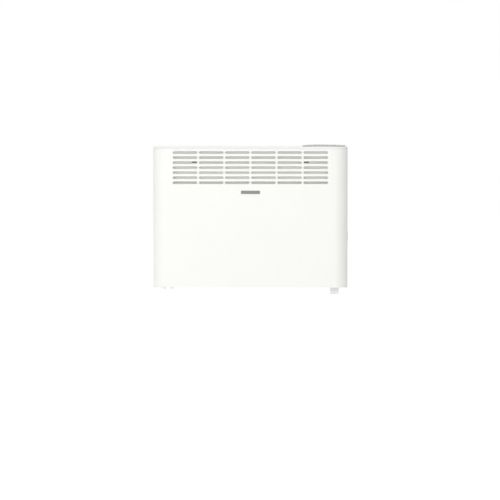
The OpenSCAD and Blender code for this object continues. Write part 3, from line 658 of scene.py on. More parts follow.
@dataclass(frozen=True)
class Finish:
    """A surface finish: the base that the others add their pattern to.

    A pattern that tints the surface takes the place of the plain colour.
    """

    name: str
    colour: str
    roughness: float = 0.5
    metallic: float = 0.0
    ior: Optional[float] = None

    def material(self) -> Material:
        """Gives the finish's material, made at its first use.

        Returns:
            The material.
        """
        found = bpy.data.materials.get(self.name)
        if found:
            return found
        paint = Paint(self.name)
        feed(paint.material, paint.shader, {
            "Base Color": linear(self.colour), "Roughness": self.roughness, "Metallic": self.metallic})
        if self.ior:
            feed(paint.material, paint.shader, {"IOR": self.ior})
        self.pattern(paint)
        return paint.material

    def pattern(self, paint: Paint) -> None:
        """Adds the finish's pattern to its material."""


@dataclass(frozen=True)
class PowderCoat(Finish):
    """Polyester powder coat baked on steel.

    The eye gets an even satin white with a shallow orange peel, which only shows in its highlights.
    """

    peel: float = 2.2
    patch: float = 90.0
    depth: float = 0.02
    swing: float = 0.05
    tone: tuple[str, str] = ("#fafbf6", "#fbfcf7")

    def pattern(self, paint: Paint) -> None:
        """Adds the tone and the orange peel.

        Args:
            paint: the material while it is made.
        """
        paint.tint(self.drift(paint), [(0.35, self.tone[0]), (0.65, self.tone[1])])
        peel = paint.noise(self.peel, detail=1.0)
        paint.relief(peel, self.depth, share=0.5)
        paint.spread(peel, self.roughness - self.swing, self.roughness + self.swing)

    def drift(self, paint: Paint) -> Socket:
        """Gives where between its two tones the coat is: a slow drift over the sheet."""
        return paint.noise(self.patch, detail=1.0)


@dataclass(frozen=True)
class ShadedOutletCoat(PowderCoat):
    """Powder coat on the sheet that turns the hot air towards the slots.

    The eye gets the same coat, a little deeper in tone towards its top edge: painted shade that evens out the
    brighter light seen through the upper slots.
    """

    # The heights, in metres, between which the painted shade deepens.
    low: float = 0.08
    high: float = 0.24

    def drift(self, paint: Paint) -> Socket:
        """Gives where between its two tones the coat is: it follows the height, as painted shade that deepens
        upwards.

        Args:
            paint: the material while it is made.

        Returns:
            The share of the second tone, the painted shade.
        """
        parts = add_node(paint.material, "SeparateXYZ", {"Vector": paint.place()})
        height = add_node(paint.material, "MapRange", {
            "Value": parts.outputs["Z"], "From Min": self.low, "From Max": self.high})
        return height.outputs["Result"]


@dataclass(frozen=True)
class MouldedPlastic(Finish):
    """Plastic from a spark-eroded mould, and the ink that is printed on it.

    The eye gets a dull surface with a fine even grain. The real grain is about 0.1 mm; 0.5 mm makes it show.
    """

    grain: float = 0.5
    depth: float = 0.02
    swing: float = 0.06

    def pattern(self, paint: Paint) -> None:
        """Adds the grain of the mould.

        Args:
            paint: the material while it is made.
        """
        grain = paint.noise(self.grain, detail=3.0)
        paint.relief(grain, self.depth, share=0.5)
        paint.spread(grain, self.roughness - self.swing, self.roughness + self.swing)


@dataclass(frozen=True)
class Galvanised(Finish):
    """Hot-dip galvanised sheet steel.

    The eye gets a grey metal broken into spangles a few millimetres wide, each with its own sheen.
    """

    spangle: float = 4.0
    frost: float = 1.5
    depth: float = 0.02
    swing: float = 0.12
    tones: tuple[str, str, str] = ("#b4b8b9", "#c0c4c4", "#cccfce")

    def pattern(self, paint: Paint) -> None:
        """Adds the spangles to the colour and the roughness.

        Args:
            paint: the material while it is made.
        """
        cells = paint.texture("TexVoronoi", self.spangle).outputs["Color"]
        paint.tint(cells, list(zip((0.1, 0.5, 0.9), self.tones)))
        paint.spread(cells, self.roughness - self.swing, self.roughness + self.swing)
        paint.relief(paint.noise(self.frost), self.depth, share=0.3)


@dataclass(frozen=True)
class Rolled(Finish):
    """Rolled sheet of aluminium or brass.

    The eye gets a bright metal with faint straight lines from the rollers.
    """

    line: float = 0.8
    # The share of its length along X at which the noise is read, which draws it out into lines.
    squeeze: float = 0.02
    depth: float = 0.01
    swing: float = 0.1

    def pattern(self, paint: Paint) -> None:
        """Adds the roller lines along X.

        Args:
            paint: the material while it is made.
        """
        stretched = add_node(paint.material, "Mapping", {
            "Vector": paint.place(), "Scale": (self.squeeze, 1.0, 1.0)})
        lines = paint.noise(self.line, place=stretched.outputs["Vector"])
        paint.relief(lines, self.depth, share=0.5)
        paint.spread(lines, self.roughness - self.swing, self.roughness + self.swing)


@dataclass(frozen=True)
class HeatTinted(Finish):
    """Nickel-alloy sheath after its first firing.

    The eye gets a dark metal with straw and blue-grey patches.
    """

    patch: float = 18.0
    speck: float = 3.0
    sheen: tuple[float, float] = (0.32, 0.5)

    def pattern(self, paint: Paint) -> None:
        """Adds the patches of tint.

        Args:
            paint: the material while it is made.
        """
        patches = paint.noise(self.patch, detail=3.0)
        paint.tint(patches, [(0.3, "#5d5a58"), (0.5, "#746a5c"), (0.7, "#565c66")])
        paint.spread(paint.noise(self.speck), *self.sheen)


@dataclass(frozen=True)
class SolderMask(Finish):
    """Fibreglass board under green solder mask.

    The eye gets a glossy green with slightly raised tracks about 1.5 mm wide.
    """

    spacing: float = 6.0
    raised: float = 0.04

    def pattern(self, paint: Paint) -> None:
        """Adds the tracks in the colour and in the relief.

        Args:
            paint: the material while it is made.
        """
        tracks = paint.texture("TexVoronoi", self.spacing, distance="MANHATTAN")
        tone = paint.tint(tracks.outputs["Distance"], [(0.42, "#1d5a37"), (0.5, "#2f7a4c")])
        paint.relief(tone, self.raised, share=0.5)


@dataclass(frozen=True)
class Glazed(Finish):
    """Smooth hard surfaces, such as steatite, acrylic or polished moulding.

    The eye gets a clean reflection that wavers a little, with fine wiping marks.
    """

    wave: float = 25.0
    depth: float = 0.03
    wipe: float = 4.0
    # Between which shares of the roughness the wiping marks wander.
    wiped: tuple[float, float] = (0.7, 1.4)

    def pattern(self, paint: Paint) -> None:
        """Adds the faint wave and the wiping marks.

        Args:
            paint: the material while it is made.
        """
        paint.relief(paint.noise(self.wave, detail=1.0), self.depth, share=0.3)
        low, high = (self.roughness * share for share in self.wiped)
        paint.spread(paint.noise(self.wipe, detail=4.0), low, high)


WHITE_COAT = PowderCoat("powder_coated_steel_white", "#fafbf6", roughness=0.42, ior=1.5)
# The duct's second tone is painted shade, darker towards the top of the sheet.
SHADED_DUCT_COAT = ShadedOutletCoat("coated_steel_duct_painted_shade", "#dedfda", roughness=0.55, ior=1.5, tone=("#e7e8e3", "#d5d6d1"))
WHITE_ABS = MouldedPlastic("moulded_abs_white", "#f9f9f6", roughness=0.45, ior=1.53)
GREY_ABS = MouldedPlastic("moulded_abs_pale_grey", "#d9dad6", roughness=0.45, ior=1.53)
BLACK_NYLON = MouldedPlastic("moulded_nylon_black", "#2f3133", roughness=0.5, ior=1.53)
BLACK_EPOXY = MouldedPlastic("moulded_epoxy_black", "#242628", roughness=0.4, ior=1.5, grain=0.4)
CREAM_NYLON = MouldedPlastic("moulded_nylon_cream", "#dcd7c4", roughness=0.5, ior=1.53)
SMOKED_ACRYLIC = Glazed("polished_acrylic_smoked", "#0f1113", roughness=0.09, ior=1.49)
LCD_GLASS = Glazed("polarised_glass_grey_green", "#5d655b", roughness=0.12, ior=1.5)
ZINC_SHEET = Galvanised("galvanised_steel_spangled", "#b7bbbb", roughness=0.42, metallic=0.9)
ZINC_SCREW = Galvanised("zinc_plated_steel_bright", "#c3c6c8", roughness=0.3, metallic=1.0, spangle=1.6)
MILL_ALUMINIUM = Rolled("mill_finish_aluminium", "#d3d5d7", roughness=0.32, metallic=1.0)
PLATE_ALUMINIUM = Rolled("anodised_aluminium_grey", "#7c7d7c", roughness=0.42, metallic=0.6, line=0.5)
SHEATH = HeatTinted("fired_nickel_alloy", "#666361", roughness=0.4, metallic=0.9)
STEATITE = Glazed("fired_steatite", "#e4dfcf", roughness=0.35, ior=1.6)
STAMPED_BRASS = Rolled("stamped_brass", "#c9a86a", roughness=0.35, metallic=1.0)
BOARD = SolderMask("solder_mask_green", "#2a6d43", roughness=0.3, ior=1.5)
MARK_INK = MouldedPlastic("printed_ink_grey", "#5c6063", roughness=0.6, ior=1.5)

# What each CAD node that stays in view is made of.
CAD_FINISHES: dict[str, Finish] = {
    "bracket_frame": ZINC_SHEET, "catch_pins": ZINC_SCREW, "catch_springs": ZINC_SCREW,
    "catch_left": BLACK_NYLON, "catch_right": BLACK_NYLON,
    "rear_panel": WHITE_COAT, "bottom_grille": ZINC_SHEET,
    "left_partition": ZINC_SHEET, "right_partition": ZINC_SHEET,
    "air_deflector": SHADED_DUCT_COAT, "front_heat_shield": MILL_ALUMINIUM,
    "element_tube": SHEATH, "element_fins": MILL_ALUMINIUM, "element_bracket": ZINC_SHEET,
    "element_bushes": STEATITE, "limit_thermostat": BLACK_EPOXY, "room_sensor": BLACK_EPOXY,
    "power_board": BOARD, "board_standoffs": WHITE_ABS, "board_parts": BLACK_EPOXY,
    "terminal_block": CREAM_NYLON, "lcd_module": LCD_GLASS, "control_board": BOARD,
    "tact_switches": BLACK_EPOXY, "control_screws": ZINC_SCREW, "switch_tabs": STAMPED_BRASS,
    "cord_clamp": BLACK_NYLON, "clamp_screws": ZINC_SCREW,
}


@dataclass
class FrontShell:
    """The front sheet, bent round two upright corners, with its rolled outlet slots."""

    columns: int = 6
    rows: int = 7
    slot_length: float = 72.5
    slot_height: float = 7.6
    pitch_x: float = 78.0
    pitch_z: float = 15.0
    top_row: float = 203.3
    end_steps: int = 7
    roll: float = 0.8
    roll_steps: int = 4
    # The last steps of the roll are so narrow that this much is added to keep their points apart.
    apart: float = 1e-4
    collar: float = 3.0
    lower_flange: float = 10.0
    rear_flange: float = 14.0
    name: str = "front_shell"

    @property
    def grid_low(self) -> float:
        """Z of the lower edge of the field of slots."""
        return self.top_row - (self.rows - 0.5) * self.pitch_z

    def cell(self) -> Workpiece:
        """Models the cell at the lower left of the field: a slot rolled inwards, and the flat round it.

        Returns:
            The cell, open at its edges.
        """
        x0 = -self.columns * self.pitch_x / 2 + self.pitch_x / 2
        z0 = self.grid_low + self.pitch_z / 2
        centre = (x0 * MM, CASING.front * MM, z0 * MM)
        length, height = self.slot_length + 2 * self.roll, self.slot_height + 2 * self.roll
        clear_selection()
        bpy.ops.mesh.primitive_plane_add(size=1, location=centre, rotation=Axis.Y.value)
        bpy.context.active_object.scale = (length * MM, height * MM, 1)
        cell = Workpiece("slot_cell")
        with cell.editing(edges=everything):
            bpy.ops.mesh.bevel(offset=height / 2 * MM, segments=self.end_steps, affect="VERTICES",
                               clamp_overlap=False)
            bpy.ops.mesh.select_all(action="SELECT")
            bpy.ops.mesh.remove_doubles(threshold=2 * NEAR * MM)
        with cell.editing(faces=everything):
            for i in range(self.roll_steps):
                a, b = (j / self.roll_steps * math.pi / 2 for j in (i, i + 1))
                inset(self.roll * (math.sin(b) - math.sin(a)) + self.apart,
                      -self.roll * (math.cos(a) - math.cos(b)))
            draw_out((0, self.collar - self.roll, 0))
            drop_faces()
        with cell.editing(edges=in_plane(TO_WALL, CASING.front)):
            bpy.ops.mesh.primitive_plane_add(size=1, location=centre, rotation=Axis.Y.value)
            bpy.ops.transform.resize(value=(self.pitch_x * MM, 1, self.pitch_z * MM))
            bpy.ops.mesh.delete(type="ONLY_FACE")
        with cell.editing(edges=in_plane(TO_WALL, CASING.front)):
            bpy.ops.mesh.fill()
        return cell

    def wall(self) -> Workpiece:
        """Models the bent sheet with its flanges, its top on the seam plane.

        Returns:
            The sheet, still without its thickness.
        """
        half, front, back = CASING.half, CASING.front, CASING.back
        wall = upright((-half, front, CASING.low), (half, back, CASING.seam_z + OVER), CASING.front_corners,
                       self.name)
        for open_side in (facing(TO_WALL), facing(UPWARDS)):
            with wall.editing(faces=open_side):
                drop_faces()
        wall.slice(Vector((0, front, CASING.seam_z)), CASING.up, fill=False)
        with wall.editing(faces=facing(-UPWARDS)):
            inset(self.lower_flange)
            drop_faces()
        at_rear = joined(facing(-UPWARDS), lambda middle, normal: middle.y > back - self.lower_flange)
        with wall.editing(faces=at_rear):
            drop_faces()
        for side in (-1, 1):
            with wall.editing(edges=joined(in_plane(TO_WALL, back), in_plane(side * TO_RIGHT, half))):
                draw_out((-side * self.rear_flange, 0, 0))
        return wall

    def open_switch_hole(self, wall: Workpiece) -> None:
        """Cuts the hole for the mains switch into the right side of the sheet, which is still thin.

        Args:
            wall: the sheet.
        """
        wide, tall = CASING.switch_hole
        on_side = facing(TO_RIGHT, CASING.half)
        for sign in (-1, 1):
            wall.score((CASING.switch_along + sign * wide / 2) * TO_WALL, TO_WALL, on_side)
            wall.score((CASING.switch_up + sign * tall / 2) * UPWARDS, UPWARDS, on_side)
        hole = joined(on_side, lambda middle, normal: abs(middle.y - CASING.switch_along) < wide / 2
                      and abs(middle.z - CASING.switch_up) < tall / 2)
        with wall.editing(faces=hole):
            drop_faces()

    def build(self) -> None:
        """Cuts the field of slots into the wall and dresses it."""
        wall = self.wall()
        on_front = facing(-TO_WALL, -CASING.front)
        for i in range(self.columns + 1):
            wall.score((i - self.columns / 2) * self.pitch_x * TO_RIGHT, TO_RIGHT, on_front)
        for i in range(self.rows + 1):
            wall.score((self.grid_low + i * self.pitch_z) * UPWARDS, UPWARDS, on_front)
        half_field = self.columns * self.pitch_x / 2
        top = self.grid_low + self.rows * self.pitch_z
        slots = joined(on_front, lambda middle, normal: abs(middle.x) < half_field
                       and self.grid_low < middle.z < top)
        with wall.editing(faces=slots):
            drop_faces()
        cell = self.cell()
        for count, step in ((self.columns, self.pitch_x * TO_RIGHT), (self.rows, self.pitch_z * UPWARDS)):
            cell.modify("ARRAY", count=count, use_relative_offset=False, use_constant_offset=True,
                        constant_offset_displace=step * MM, use_merge_vertices=True,
                        merge_threshold=NEAR * MM)
        wall.join(cell).merge()
        self.open_switch_hole(wall)
        wall.modify("SOLIDIFY", thickness=CASING.sheet * MM, offset=-1, use_even_offset=True, use_rim=True)
        wall.soften(0.3)
        wall.finish(WHITE_COAT, "white_paint", replaces=("front_casing",))


@dataclass
class ControlUnit:
    """The cambered control unit at the right of the top, with its window, keys and display."""

    width: float = 137.0
    height: float = 6.3
    # The camber's radius, and how far its highest line lies from the right end.
    camber: float = 1700.0
    peak_in: float = 81.0
    # How far the window stays off the right end, and the radii of the shell's edges there and elsewhere.
    end_strip: float = 4.6
    end_round: float = 3.4
    edge_round: float = 0.5
    # The height over the seam from which an edge belongs to the top.
    top_from: float = 2.6
    rear_corner: float = 36.0
    # The cover's strip behind the unit, and the shell's rim round the window.
    strip: float = 4.0
    rim: float = 2.0
    wall: float = 2.0
    window: float = 1.6
    skirt: float = 5.0
    key_radius: float = 5.0
    key_pitch: float = 24.0
    key_along: float = 25.0
    key_rise: float = 0.5
    key_gap: float = 0.35
    key_cap: float = 4.0
    key_edge: float = 0.5
    flange_out: float = 1.3
    flange_drop: float = 1.5
    flange_thick: float = 1.0
    mark_half: float = 0.28
    mark_sink: float = 0.38
    mark_thick: float = 0.16
    window_gap: float = 0.15
    camber_reach: float = 600.0
    block_reach: float = 5.0
    skirt_lap: float = 0.3
    display: tuple[float, float] = (58.0, 26.0)
    display_along: float = 58.0
    display_corner: float = 1.5
    border: float = 1.2
    pane_edge: float = 0.6
    keys: tuple[str, ...] = ("key_menu", "key_ok", "key_minus", "key_plus")
    # For each ring of a key's dished top, how wide and how deep it is.
    dish: tuple[tuple[float, float], ...] = ((0.5, 0), (0.9, -0.2), (1.3, -0.1))
    # For each bar of a key's mark, how far right and up it lies, its length, and its angle in degrees.
    strokes: dict[str, list[tuple[float, float, float, float]]] = field(default_factory=lambda: {
        "key_plus": [(0, 0, 3.6, 0), (0, 0, 3.6, 90)],
        "key_minus": [(0, 0, 3.6, 0)],
        "key_ok": [(-0.95, -0.45, 1.7, -45), (0.65, 0.1, 3.1, 45)],
        "key_menu": [(0, 1.1, 3.4, 0), (0, 0, 3.4, 0), (0, -1.1, 3.4, 0)],
    })

    @property
    def left(self) -> float:
        """X of the unit's left side."""
        return CASING.half - self.width

    @property
    def middle(self) -> float:
        """X of the unit's middle."""
        return CASING.half - self.width / 2

    @property
    def peak(self) -> float:
        """X of the camber's highest line."""
        return CASING.half - self.peak_in

    def crown(self, x: float) -> float:
        """Gives the camber's height over the seam plane at x."""
        return self.height - self.camber + math.sqrt(self.camber ** 2 - (x - self.peak) ** 2)

    def prism(self, margin: float, name: str, right_margin: float = 0.0) -> Workpiece:
        """Makes an upright prism of the unit's plan.

        Args:
            margin: how far the plan is drawn in.
            name: the name of the piece.
            right_margin: what more is drawn in at the right.

        Returns:
            The prism, from below the skirts to above the camber.
        """
        low = (self.left + margin, CASING.front + margin, CASING.seam_z - OVER)
        high = (CASING.half - margin - right_margin, CASING.back - self.strip - margin, CASING.seam_z + OVER)
        corner = CASING.corner - margin - right_margin
        return upright(low, high, {(1, -1): corner, (-1, 1): self.rear_corner - margin}, name)

    def under_camber(self, piece: Workpiece, drop: float) -> Workpiece:
        """Keeps what a piece has under the camber lowered by drop, inside a long cylinder.

        Args:
            piece: the piece.
            drop: how far the camber is lowered.

        Returns:
            The piece.
        """
        middle = CASING.on_seam(self.peak, 0, self.height - self.camber - drop)
        # With 256 sides, one flat covers the unit's whole right corner, so no crease runs into its rounding.
        bar = Workpiece.rod("camber", middle, self.camber, self.camber_reach, Axis.Y, sides=256)
        return piece.combine(bar.lean(middle), Cut.KEEP_SHARED)

    def under_window(self) -> Workpiece:
        """Makes a block, wider than the unit, that fills all under the window."""
        return self.under_camber(self.prism(-self.block_reach, "below"), self.window)

    def key_places(self) -> Iterator[tuple[str, Vector]]:
        """Gives each key's name and its place on the seam plane.

        Yields:
            The name and the place.
        """
        for i, name in enumerate(self.keys):
            x = self.middle + (i - (len(self.keys) - 1) / 2) * self.key_pitch
            yield name, CASING.on_seam(x, self.key_along, 0)

    def build(self) -> None:
        """Builds the housing, the window, the display and the keys."""
        self.build_housing()
        self.build_window()
        for name, place in self.key_places():
            self.build_key(name, place)

    def edge_share(self, middle: Vector) -> float:
        """Gives the share of end_round for an edge of the shell.

        It is whole along the top of the right end, and fades to that of the other edges round the corner.

        Args:
            middle: the middle of the edge, in millimetres.

        Returns:
            The share, from 0 to 1.
        """
        least = self.edge_round / self.end_round
        across = middle.x - (CASING.half - CASING.corner)
        ahead = CASING.front + CASING.corner - middle.y
        if (middle - CASING.on_seam(0, 0, self.top_from)).dot(CASING.up) < 0 or across <= 0:
            return least
        if ahead <= 0:
            return 1.0 if middle.x > CASING.half - NEAR else least
        turn = math.atan2(across, ahead) / (math.pi / 2)
        return least + (1 - least) * turn * turn * (3 - 2 * turn)

    def build_housing(self) -> None:
        """Models the white shell with its recess for the window."""
        shell = self.under_camber(self.prism(0, "control_shell"), 0)
        shell.slice(CASING.on_seam(0, 0, CASING.seam_gap), -CASING.up)
        shell.soften_by_share(self.edge_share, self.end_round, segments=6, angle=30)
        recess = self.prism(self.rim - self.window_gap, "recess", self.end_strip)
        shell.combine(recess.combine(self.under_window(), Cut.TAKE_AWAY), Cut.TAKE_AWAY)
        skirt = self.prism(CASING.sheet + CASING.fit, "skirt")
        skirt.slice(CASING.on_seam(0, 0, CASING.seam_gap + self.skirt_lap), CASING.up)
        skirt.slice(CASING.on_seam(0, 0, -self.skirt), -CASING.up)
        inner = self.prism(CASING.sheet + CASING.fit + self.wall, "skirt_inside")
        skirt.combine(inner, Cut.TAKE_AWAY)
        shell.join(skirt)
        shell.finish(WHITE_ABS, "white_plastic", replaces=("control_housing",))

    def build_window(self) -> None:
        """Models the smoked window with its key holes, and the display seen through it."""
        window = self.under_camber(self.prism(self.rim, "smoked_window", self.end_strip), 0)
        window.combine(self.under_window(), Cut.TAKE_AWAY)
        for _, place in self.key_places():
            hole = Workpiece.rod("hole", place, self.key_radius + self.key_gap, 2 * OVER)
            window.combine(hole.lean(place), Cut.TAKE_AWAY)
        window.soften(0.25, angle=30)
        window.finish(SMOKED_ACRYLIC, "window_plastic", replaces=("display_window",))
        self.build_display()

    def build_display(self) -> None:
        """Models the display's pane, flush in the window, inside a thin printed border."""
        wide, deep = self.display
        for name, grow, proud, finish, slot in (
                ("display_border", self.border, 0.04, MARK_INK, "components"),
                ("display_pane", 0.0, 0.08, LCD_GLASS, "display")):
            place = CASING.on_seam(self.middle, self.display_along, 0)
            reach = Vector((wide / 2 + grow, deep / 2 + grow, OVER))
            corners = {(x, y): self.display_corner for x in (-1, 1) for y in (-1, 1)}
            pane = self.under_camber(upright(place - reach, place + reach, corners, name).lean(place), -proud)
            pane.slice(CASING.on_seam(0, 0, self.crown(self.middle + wide / 2) - self.pane_edge), -CASING.up)
            pane.finish(finish, slot)

    def build_key(self, name: str, place: Vector) -> None:
        """Models one key: a dished cap on a flange, with its generic mark.

        Args:
            name: the CAD node and body of the key.
            place: its place on the seam plane.
        """
        middle = place + (self.crown(place.x) + self.key_rise - self.key_cap / 2) * CASING.up
        top = middle.z + self.key_cap / 2
        cap = Workpiece.rod(name + "_cap", middle, self.key_radius, self.key_cap)
        cap.round_edges(in_plane(UPWARDS, top), self.key_edge, segments=3)
        with cap.editing(faces=facing(UPWARDS, top)):
            for thickness, depth in self.dish:
                inset(thickness, depth)
        flange = Workpiece.rod("flange", middle - self.flange_drop * UPWARDS,
                               self.key_radius + self.flange_out, self.flange_thick)
        cap.join(flange).lean(middle)
        cap.finish(GREY_ABS, "key_plastic", body=name, replaces=(name,))
        self.build_mark(name, middle + (self.key_cap / 2 - self.mark_sink) * UPWARDS, middle)

    def build_mark(self, name: str, origin: Vector, middle: Vector) -> None:
        """Models the mark on a key: a plus, a minus, a tick or three bars.

        Args:
            name: the key's body.
            origin: the middle of the mark's underside, before the key leans with the slope.
            middle: the point about which the key leans.
        """
        bars = []
        for dx, dy, length, angle in self.strokes[name]:
            bar = Workpiece.block("bar", (-length / 2, -self.mark_half, 0),
                                  (length / 2, self.mark_half, self.mark_thick))
            bar.turn(math.radians(angle), UPWARDS, ORIGIN)
            bars.append(bar.move(origin + Vector((dx, dy, 0))))
        mark = bars[0].join(*bars[1:]) if len(bars) > 1 else bars[0]
        mark.obj.name = name + "_mark"
        mark.lean(middle).soften(0.06, segments=1)
        mark.finish(MARK_INK, "components", body=name)


@dataclass
class TopCover:
    """The sloping top cover over its fine seam, cut out round the control unit."""

    skirt: float = 5.0
    # How far a face's middle may lie off the ring from which the skirt hangs.
    spare: float = 0.05
    unit: ControlUnit = field(default_factory=ControlUnit)

    def build(self) -> None:
        """Models the cover and its skirt."""
        half, seam_z, down = CASING.half, CASING.seam_z, -CASING.up
        cover = upright((-half, CASING.front, seam_z - OVER), (half, CASING.back, seam_z + OVER),
                        CASING.front_corners, "top_plate")
        cover.slice(CASING.on_seam(0, 0, CASING.seam_gap + CASING.sheet), CASING.up)
        cover.slice(CASING.on_seam(0, 0, CASING.seam_gap), down)
        with cover.editing(faces=facing(down)):
            inset(CASING.sheet + CASING.fit)
            inset(CASING.sheet)
        with cover.editing(faces=joined(facing(down), self.on_skirt)):
            draw_out(down * (CASING.seam_gap + self.skirt))
        cover.combine(self.unit.prism(-CASING.fit, "cutout"), Cut.TAKE_AWAY)
        cover.soften(0.35)
        cover.finish(WHITE_COAT, "white_paint", replaces=("top_cover",))

    def on_skirt(self, middle: Vector, normal: Vector) -> bool:
        """Picks the ring from which the skirt hangs.

        Args:
            middle: the middle of a face, in millimetres.
            normal: its normal; not used.

        Returns:
            Whether the face is part of the ring.
        """
        r = CASING.corner
        beyond_x, before_y = abs(middle.x) - CASING.half + r, CASING.front + r - middle.y
        if beyond_x > 0 and before_y > 0:
            distance = r - math.hypot(beyond_x, before_y)
        else:
            distance = min(CASING.half - abs(middle.x), middle.y - CASING.front, CASING.back - middle.y)
        inner = CASING.sheet + CASING.fit
        return inner - self.spare < distance < inner + CASING.sheet + self.spare


@dataclass
class MainsSwitch:
    """The rocker switch in the right side, with its bezel."""

    up: float = CASING.switch_up
    along: float = CASING.switch_along
    proud: float = 2.0
    bezel: tuple[float, float] = (15.0, 26.5)
    bezel_corner: float = 1.6
    bezel_edge: float = 0.8
    body_deep: float = 20.0
    lap: float = 0.4
    pocket: tuple[float, float] = (10.0, 17.7)
    pocket_deep: float = 9.0
    rocker: tuple[float, float] = (9.4, 17.0)
    rocker_in: float = 3.5
    rocker_out: float = 3.9
    valley: float = 1.2
    cheek: float = 2.0
    axis_in: float = 3.0
    swing: float = math.radians(16)
    mark_thick: float = 0.12
    mark_place: float = 3.27
    # The bar's width and height, and the ring's outer and inner radius.
    on_mark: tuple[float, float] = (0.5, 2.8)
    off_mark: tuple[float, float] = (1.3, 0.85)

    def block(self, name: str, low_x: float, high_x: float, size: tuple[float, float]) -> Workpiece:
        """Makes a block of a width and a height round the switch's middle line, from low_x to high_x.

        Args:
            name: the name of the piece.
            low_x: where it starts.
            high_x: where it ends.
            size: its width and its height.

        Returns:
            The new piece.
        """
        wide, tall = size
        return Workpiece.block(name, (low_x, self.along - wide / 2, self.up - tall / 2),
                               (high_x, self.along + wide / 2, self.up + tall / 2))

    def build(self) -> None:
        """Builds the bezel with its body, and the rocker in its pocket."""
        self.build_bezel()
        self.build_rocker()

    def build_bezel(self) -> None:
        """Models the bezel and the body behind it as one moulding."""
        right, outside = CASING.half, CASING.half + self.proud
        bezel = self.block("switch_bezel", right, outside, self.bezel)
        bezel.round_edges(running(TO_RIGHT), self.bezel_corner, segments=5)
        bezel.round_edges(in_plane(TO_RIGHT, outside), self.bezel_edge, segments=4)
        body = self.block("body", right - self.body_deep, right + self.lap, CASING.switch_hole)
        pocket = self.block("pocket", right - self.pocket_deep, right + OVER, self.pocket)
        bezel.combine(body, Cut.ADD).combine(pocket, Cut.TAKE_AWAY)
        bezel.soften(0.2)
        bezel.finish(WHITE_ABS, "white_plastic", replaces=("switch_housing",))

    def build_rocker(self) -> None:
        """Models the rocker with its shallow valley, and the marks for on and off."""
        wide, tall = self.rocker
        axis = Vector((CASING.half - self.axis_in, self.along, self.up))
        outside = axis.x + self.rocker_out
        rocker = self.block("rocker_cap", axis.x - self.rocker_in, outside, self.rocker)
        rocker.score(axis, UPWARDS)
        with rocker.editing(edges=joined(in_plane(UPWARDS, self.up), in_plane(TO_RIGHT, outside))):
            bpy.ops.transform.translate(value=-self.valley * MM * TO_RIGHT)
        cheeks = Workpiece.rod("cheeks", axis, tall / 2, wide + 2 * self.cheek, Axis.Y, sides=72)
        rocker.combine(cheeks, Cut.KEEP_SHARED)
        rocker.soften(0.3, angle=30)
        rocker.turn(self.swing / 2, TO_WALL, axis)
        rocker.finish(WHITE_ABS, "white_plastic", body="mains_rocker", replaces=("mains_rocker",))
        self.build_marks(axis)

    def build_marks(self, axis: Vector) -> None:
        """Models the bar and the ring that mark on and off.

        Args:
            axis: the middle of the rocker's trunnions.
        """
        lean = math.atan2(self.valley, self.rocker[1] / 2)
        thick, (wide, tall), (outer, inner) = self.mark_thick, self.on_mark, self.off_mark
        bar = Workpiece.block("rocker_on_mark", (0, -wide / 2, -tall / 2), (thick, wide / 2, tall / 2))
        ring = Workpiece.rod("rocker_off_mark", (thick / 2, 0, 0), outer, thick, Axis.X, sides=28)
        ring.combine(Workpiece.rod("hole", ORIGIN, inner, OVER, Axis.X, sides=28), Cut.TAKE_AWAY)
        for mark, side in ((bar, 1), (ring, -1)):
            mark.turn(side * lean, TO_WALL, ORIGIN)
            mark.move(axis + self.mark_place * TO_RIGHT + side * self.rocker[1] / 4 * UPWARDS)
            mark.turn(self.swing / 2, TO_WALL, axis)
            mark.finish(MARK_INK, "components", body="mains_rocker")


@dataclass
class CordHood:
    """The moulded hood under the casing where the mains lead enters."""

    x: float = 252.5
    y: float = -69.0
    width: float = 24.5
    depth: float = 36.0
    drop: float = 21.3
    edge: float = 8.0
    corner: float = 1.2
    wall: float = 2.0
    floor: float = 4.0
    entry: float = 4.25
    lip: float = 0.4

    def build(self) -> None:
        """Models the hollow hood with its rounded lower front edge and its entry."""
        low = (self.x - self.width / 2, self.y - self.depth / 2, CASING.low - self.drop)
        high = (self.x + self.width / 2, self.y + self.depth / 2, CASING.low)
        hood = Workpiece.block("cord_hood", low, high)
        hood.round_edges(joined(in_plane(UPWARDS, low[2]), in_plane(TO_WALL, low[1])), self.edge, segments=8)
        hood.soften(self.corner, segments=4, angle=50)
        with hood.editing(faces=facing(UPWARDS, high[2])):
            inset(self.lip)
        inside = Workpiece.block("inside", (low[0] + self.wall, low[1] + self.wall, low[2] + self.floor),
                                 (high[0] - self.wall, high[1] - self.wall, high[2] + OVER))
        entry = Workpiece.rod("entry", (self.x, self.y, low[2]), self.entry, 2 * OVER, sides=40)
        hood.combine(inside, Cut.TAKE_AWAY).combine(entry, Cut.TAKE_AWAY)
        hood.soften(0.3, angle=60)
        hood.finish(WHITE_ABS, "white_plastic", replaces=("cable_hood",))


@dataclass
class FrontPlate:
    """The small blank plate on the front under the slots."""

    z: float = 84.7
    width: float = 57.0
    height: float = 10.0
    sunk: float = 0.4
    proud: float = 0.5
    corner: float = 2.5
    border: float = 0.7
    step: float = 0.15

    def build(self) -> None:
        """Models the plate with rounded ends and a raised border."""
        low = (-self.width / 2, CASING.front - self.proud, self.z - self.height / 2)
        high = (self.width / 2, CASING.front + self.sunk, self.z + self.height / 2)
        plate = Workpiece.block("front_plate", low, high)
        plate.round_edges(running(TO_WALL), self.corner, segments=6)
        plate.soften(0.2)
        with plate.editing(faces=facing(-TO_WALL, -low[1])):
            inset(self.border)
            inset(self.step, -self.step)
        plate.finish(PLATE_ALUMINIUM, "bright_aluminium")


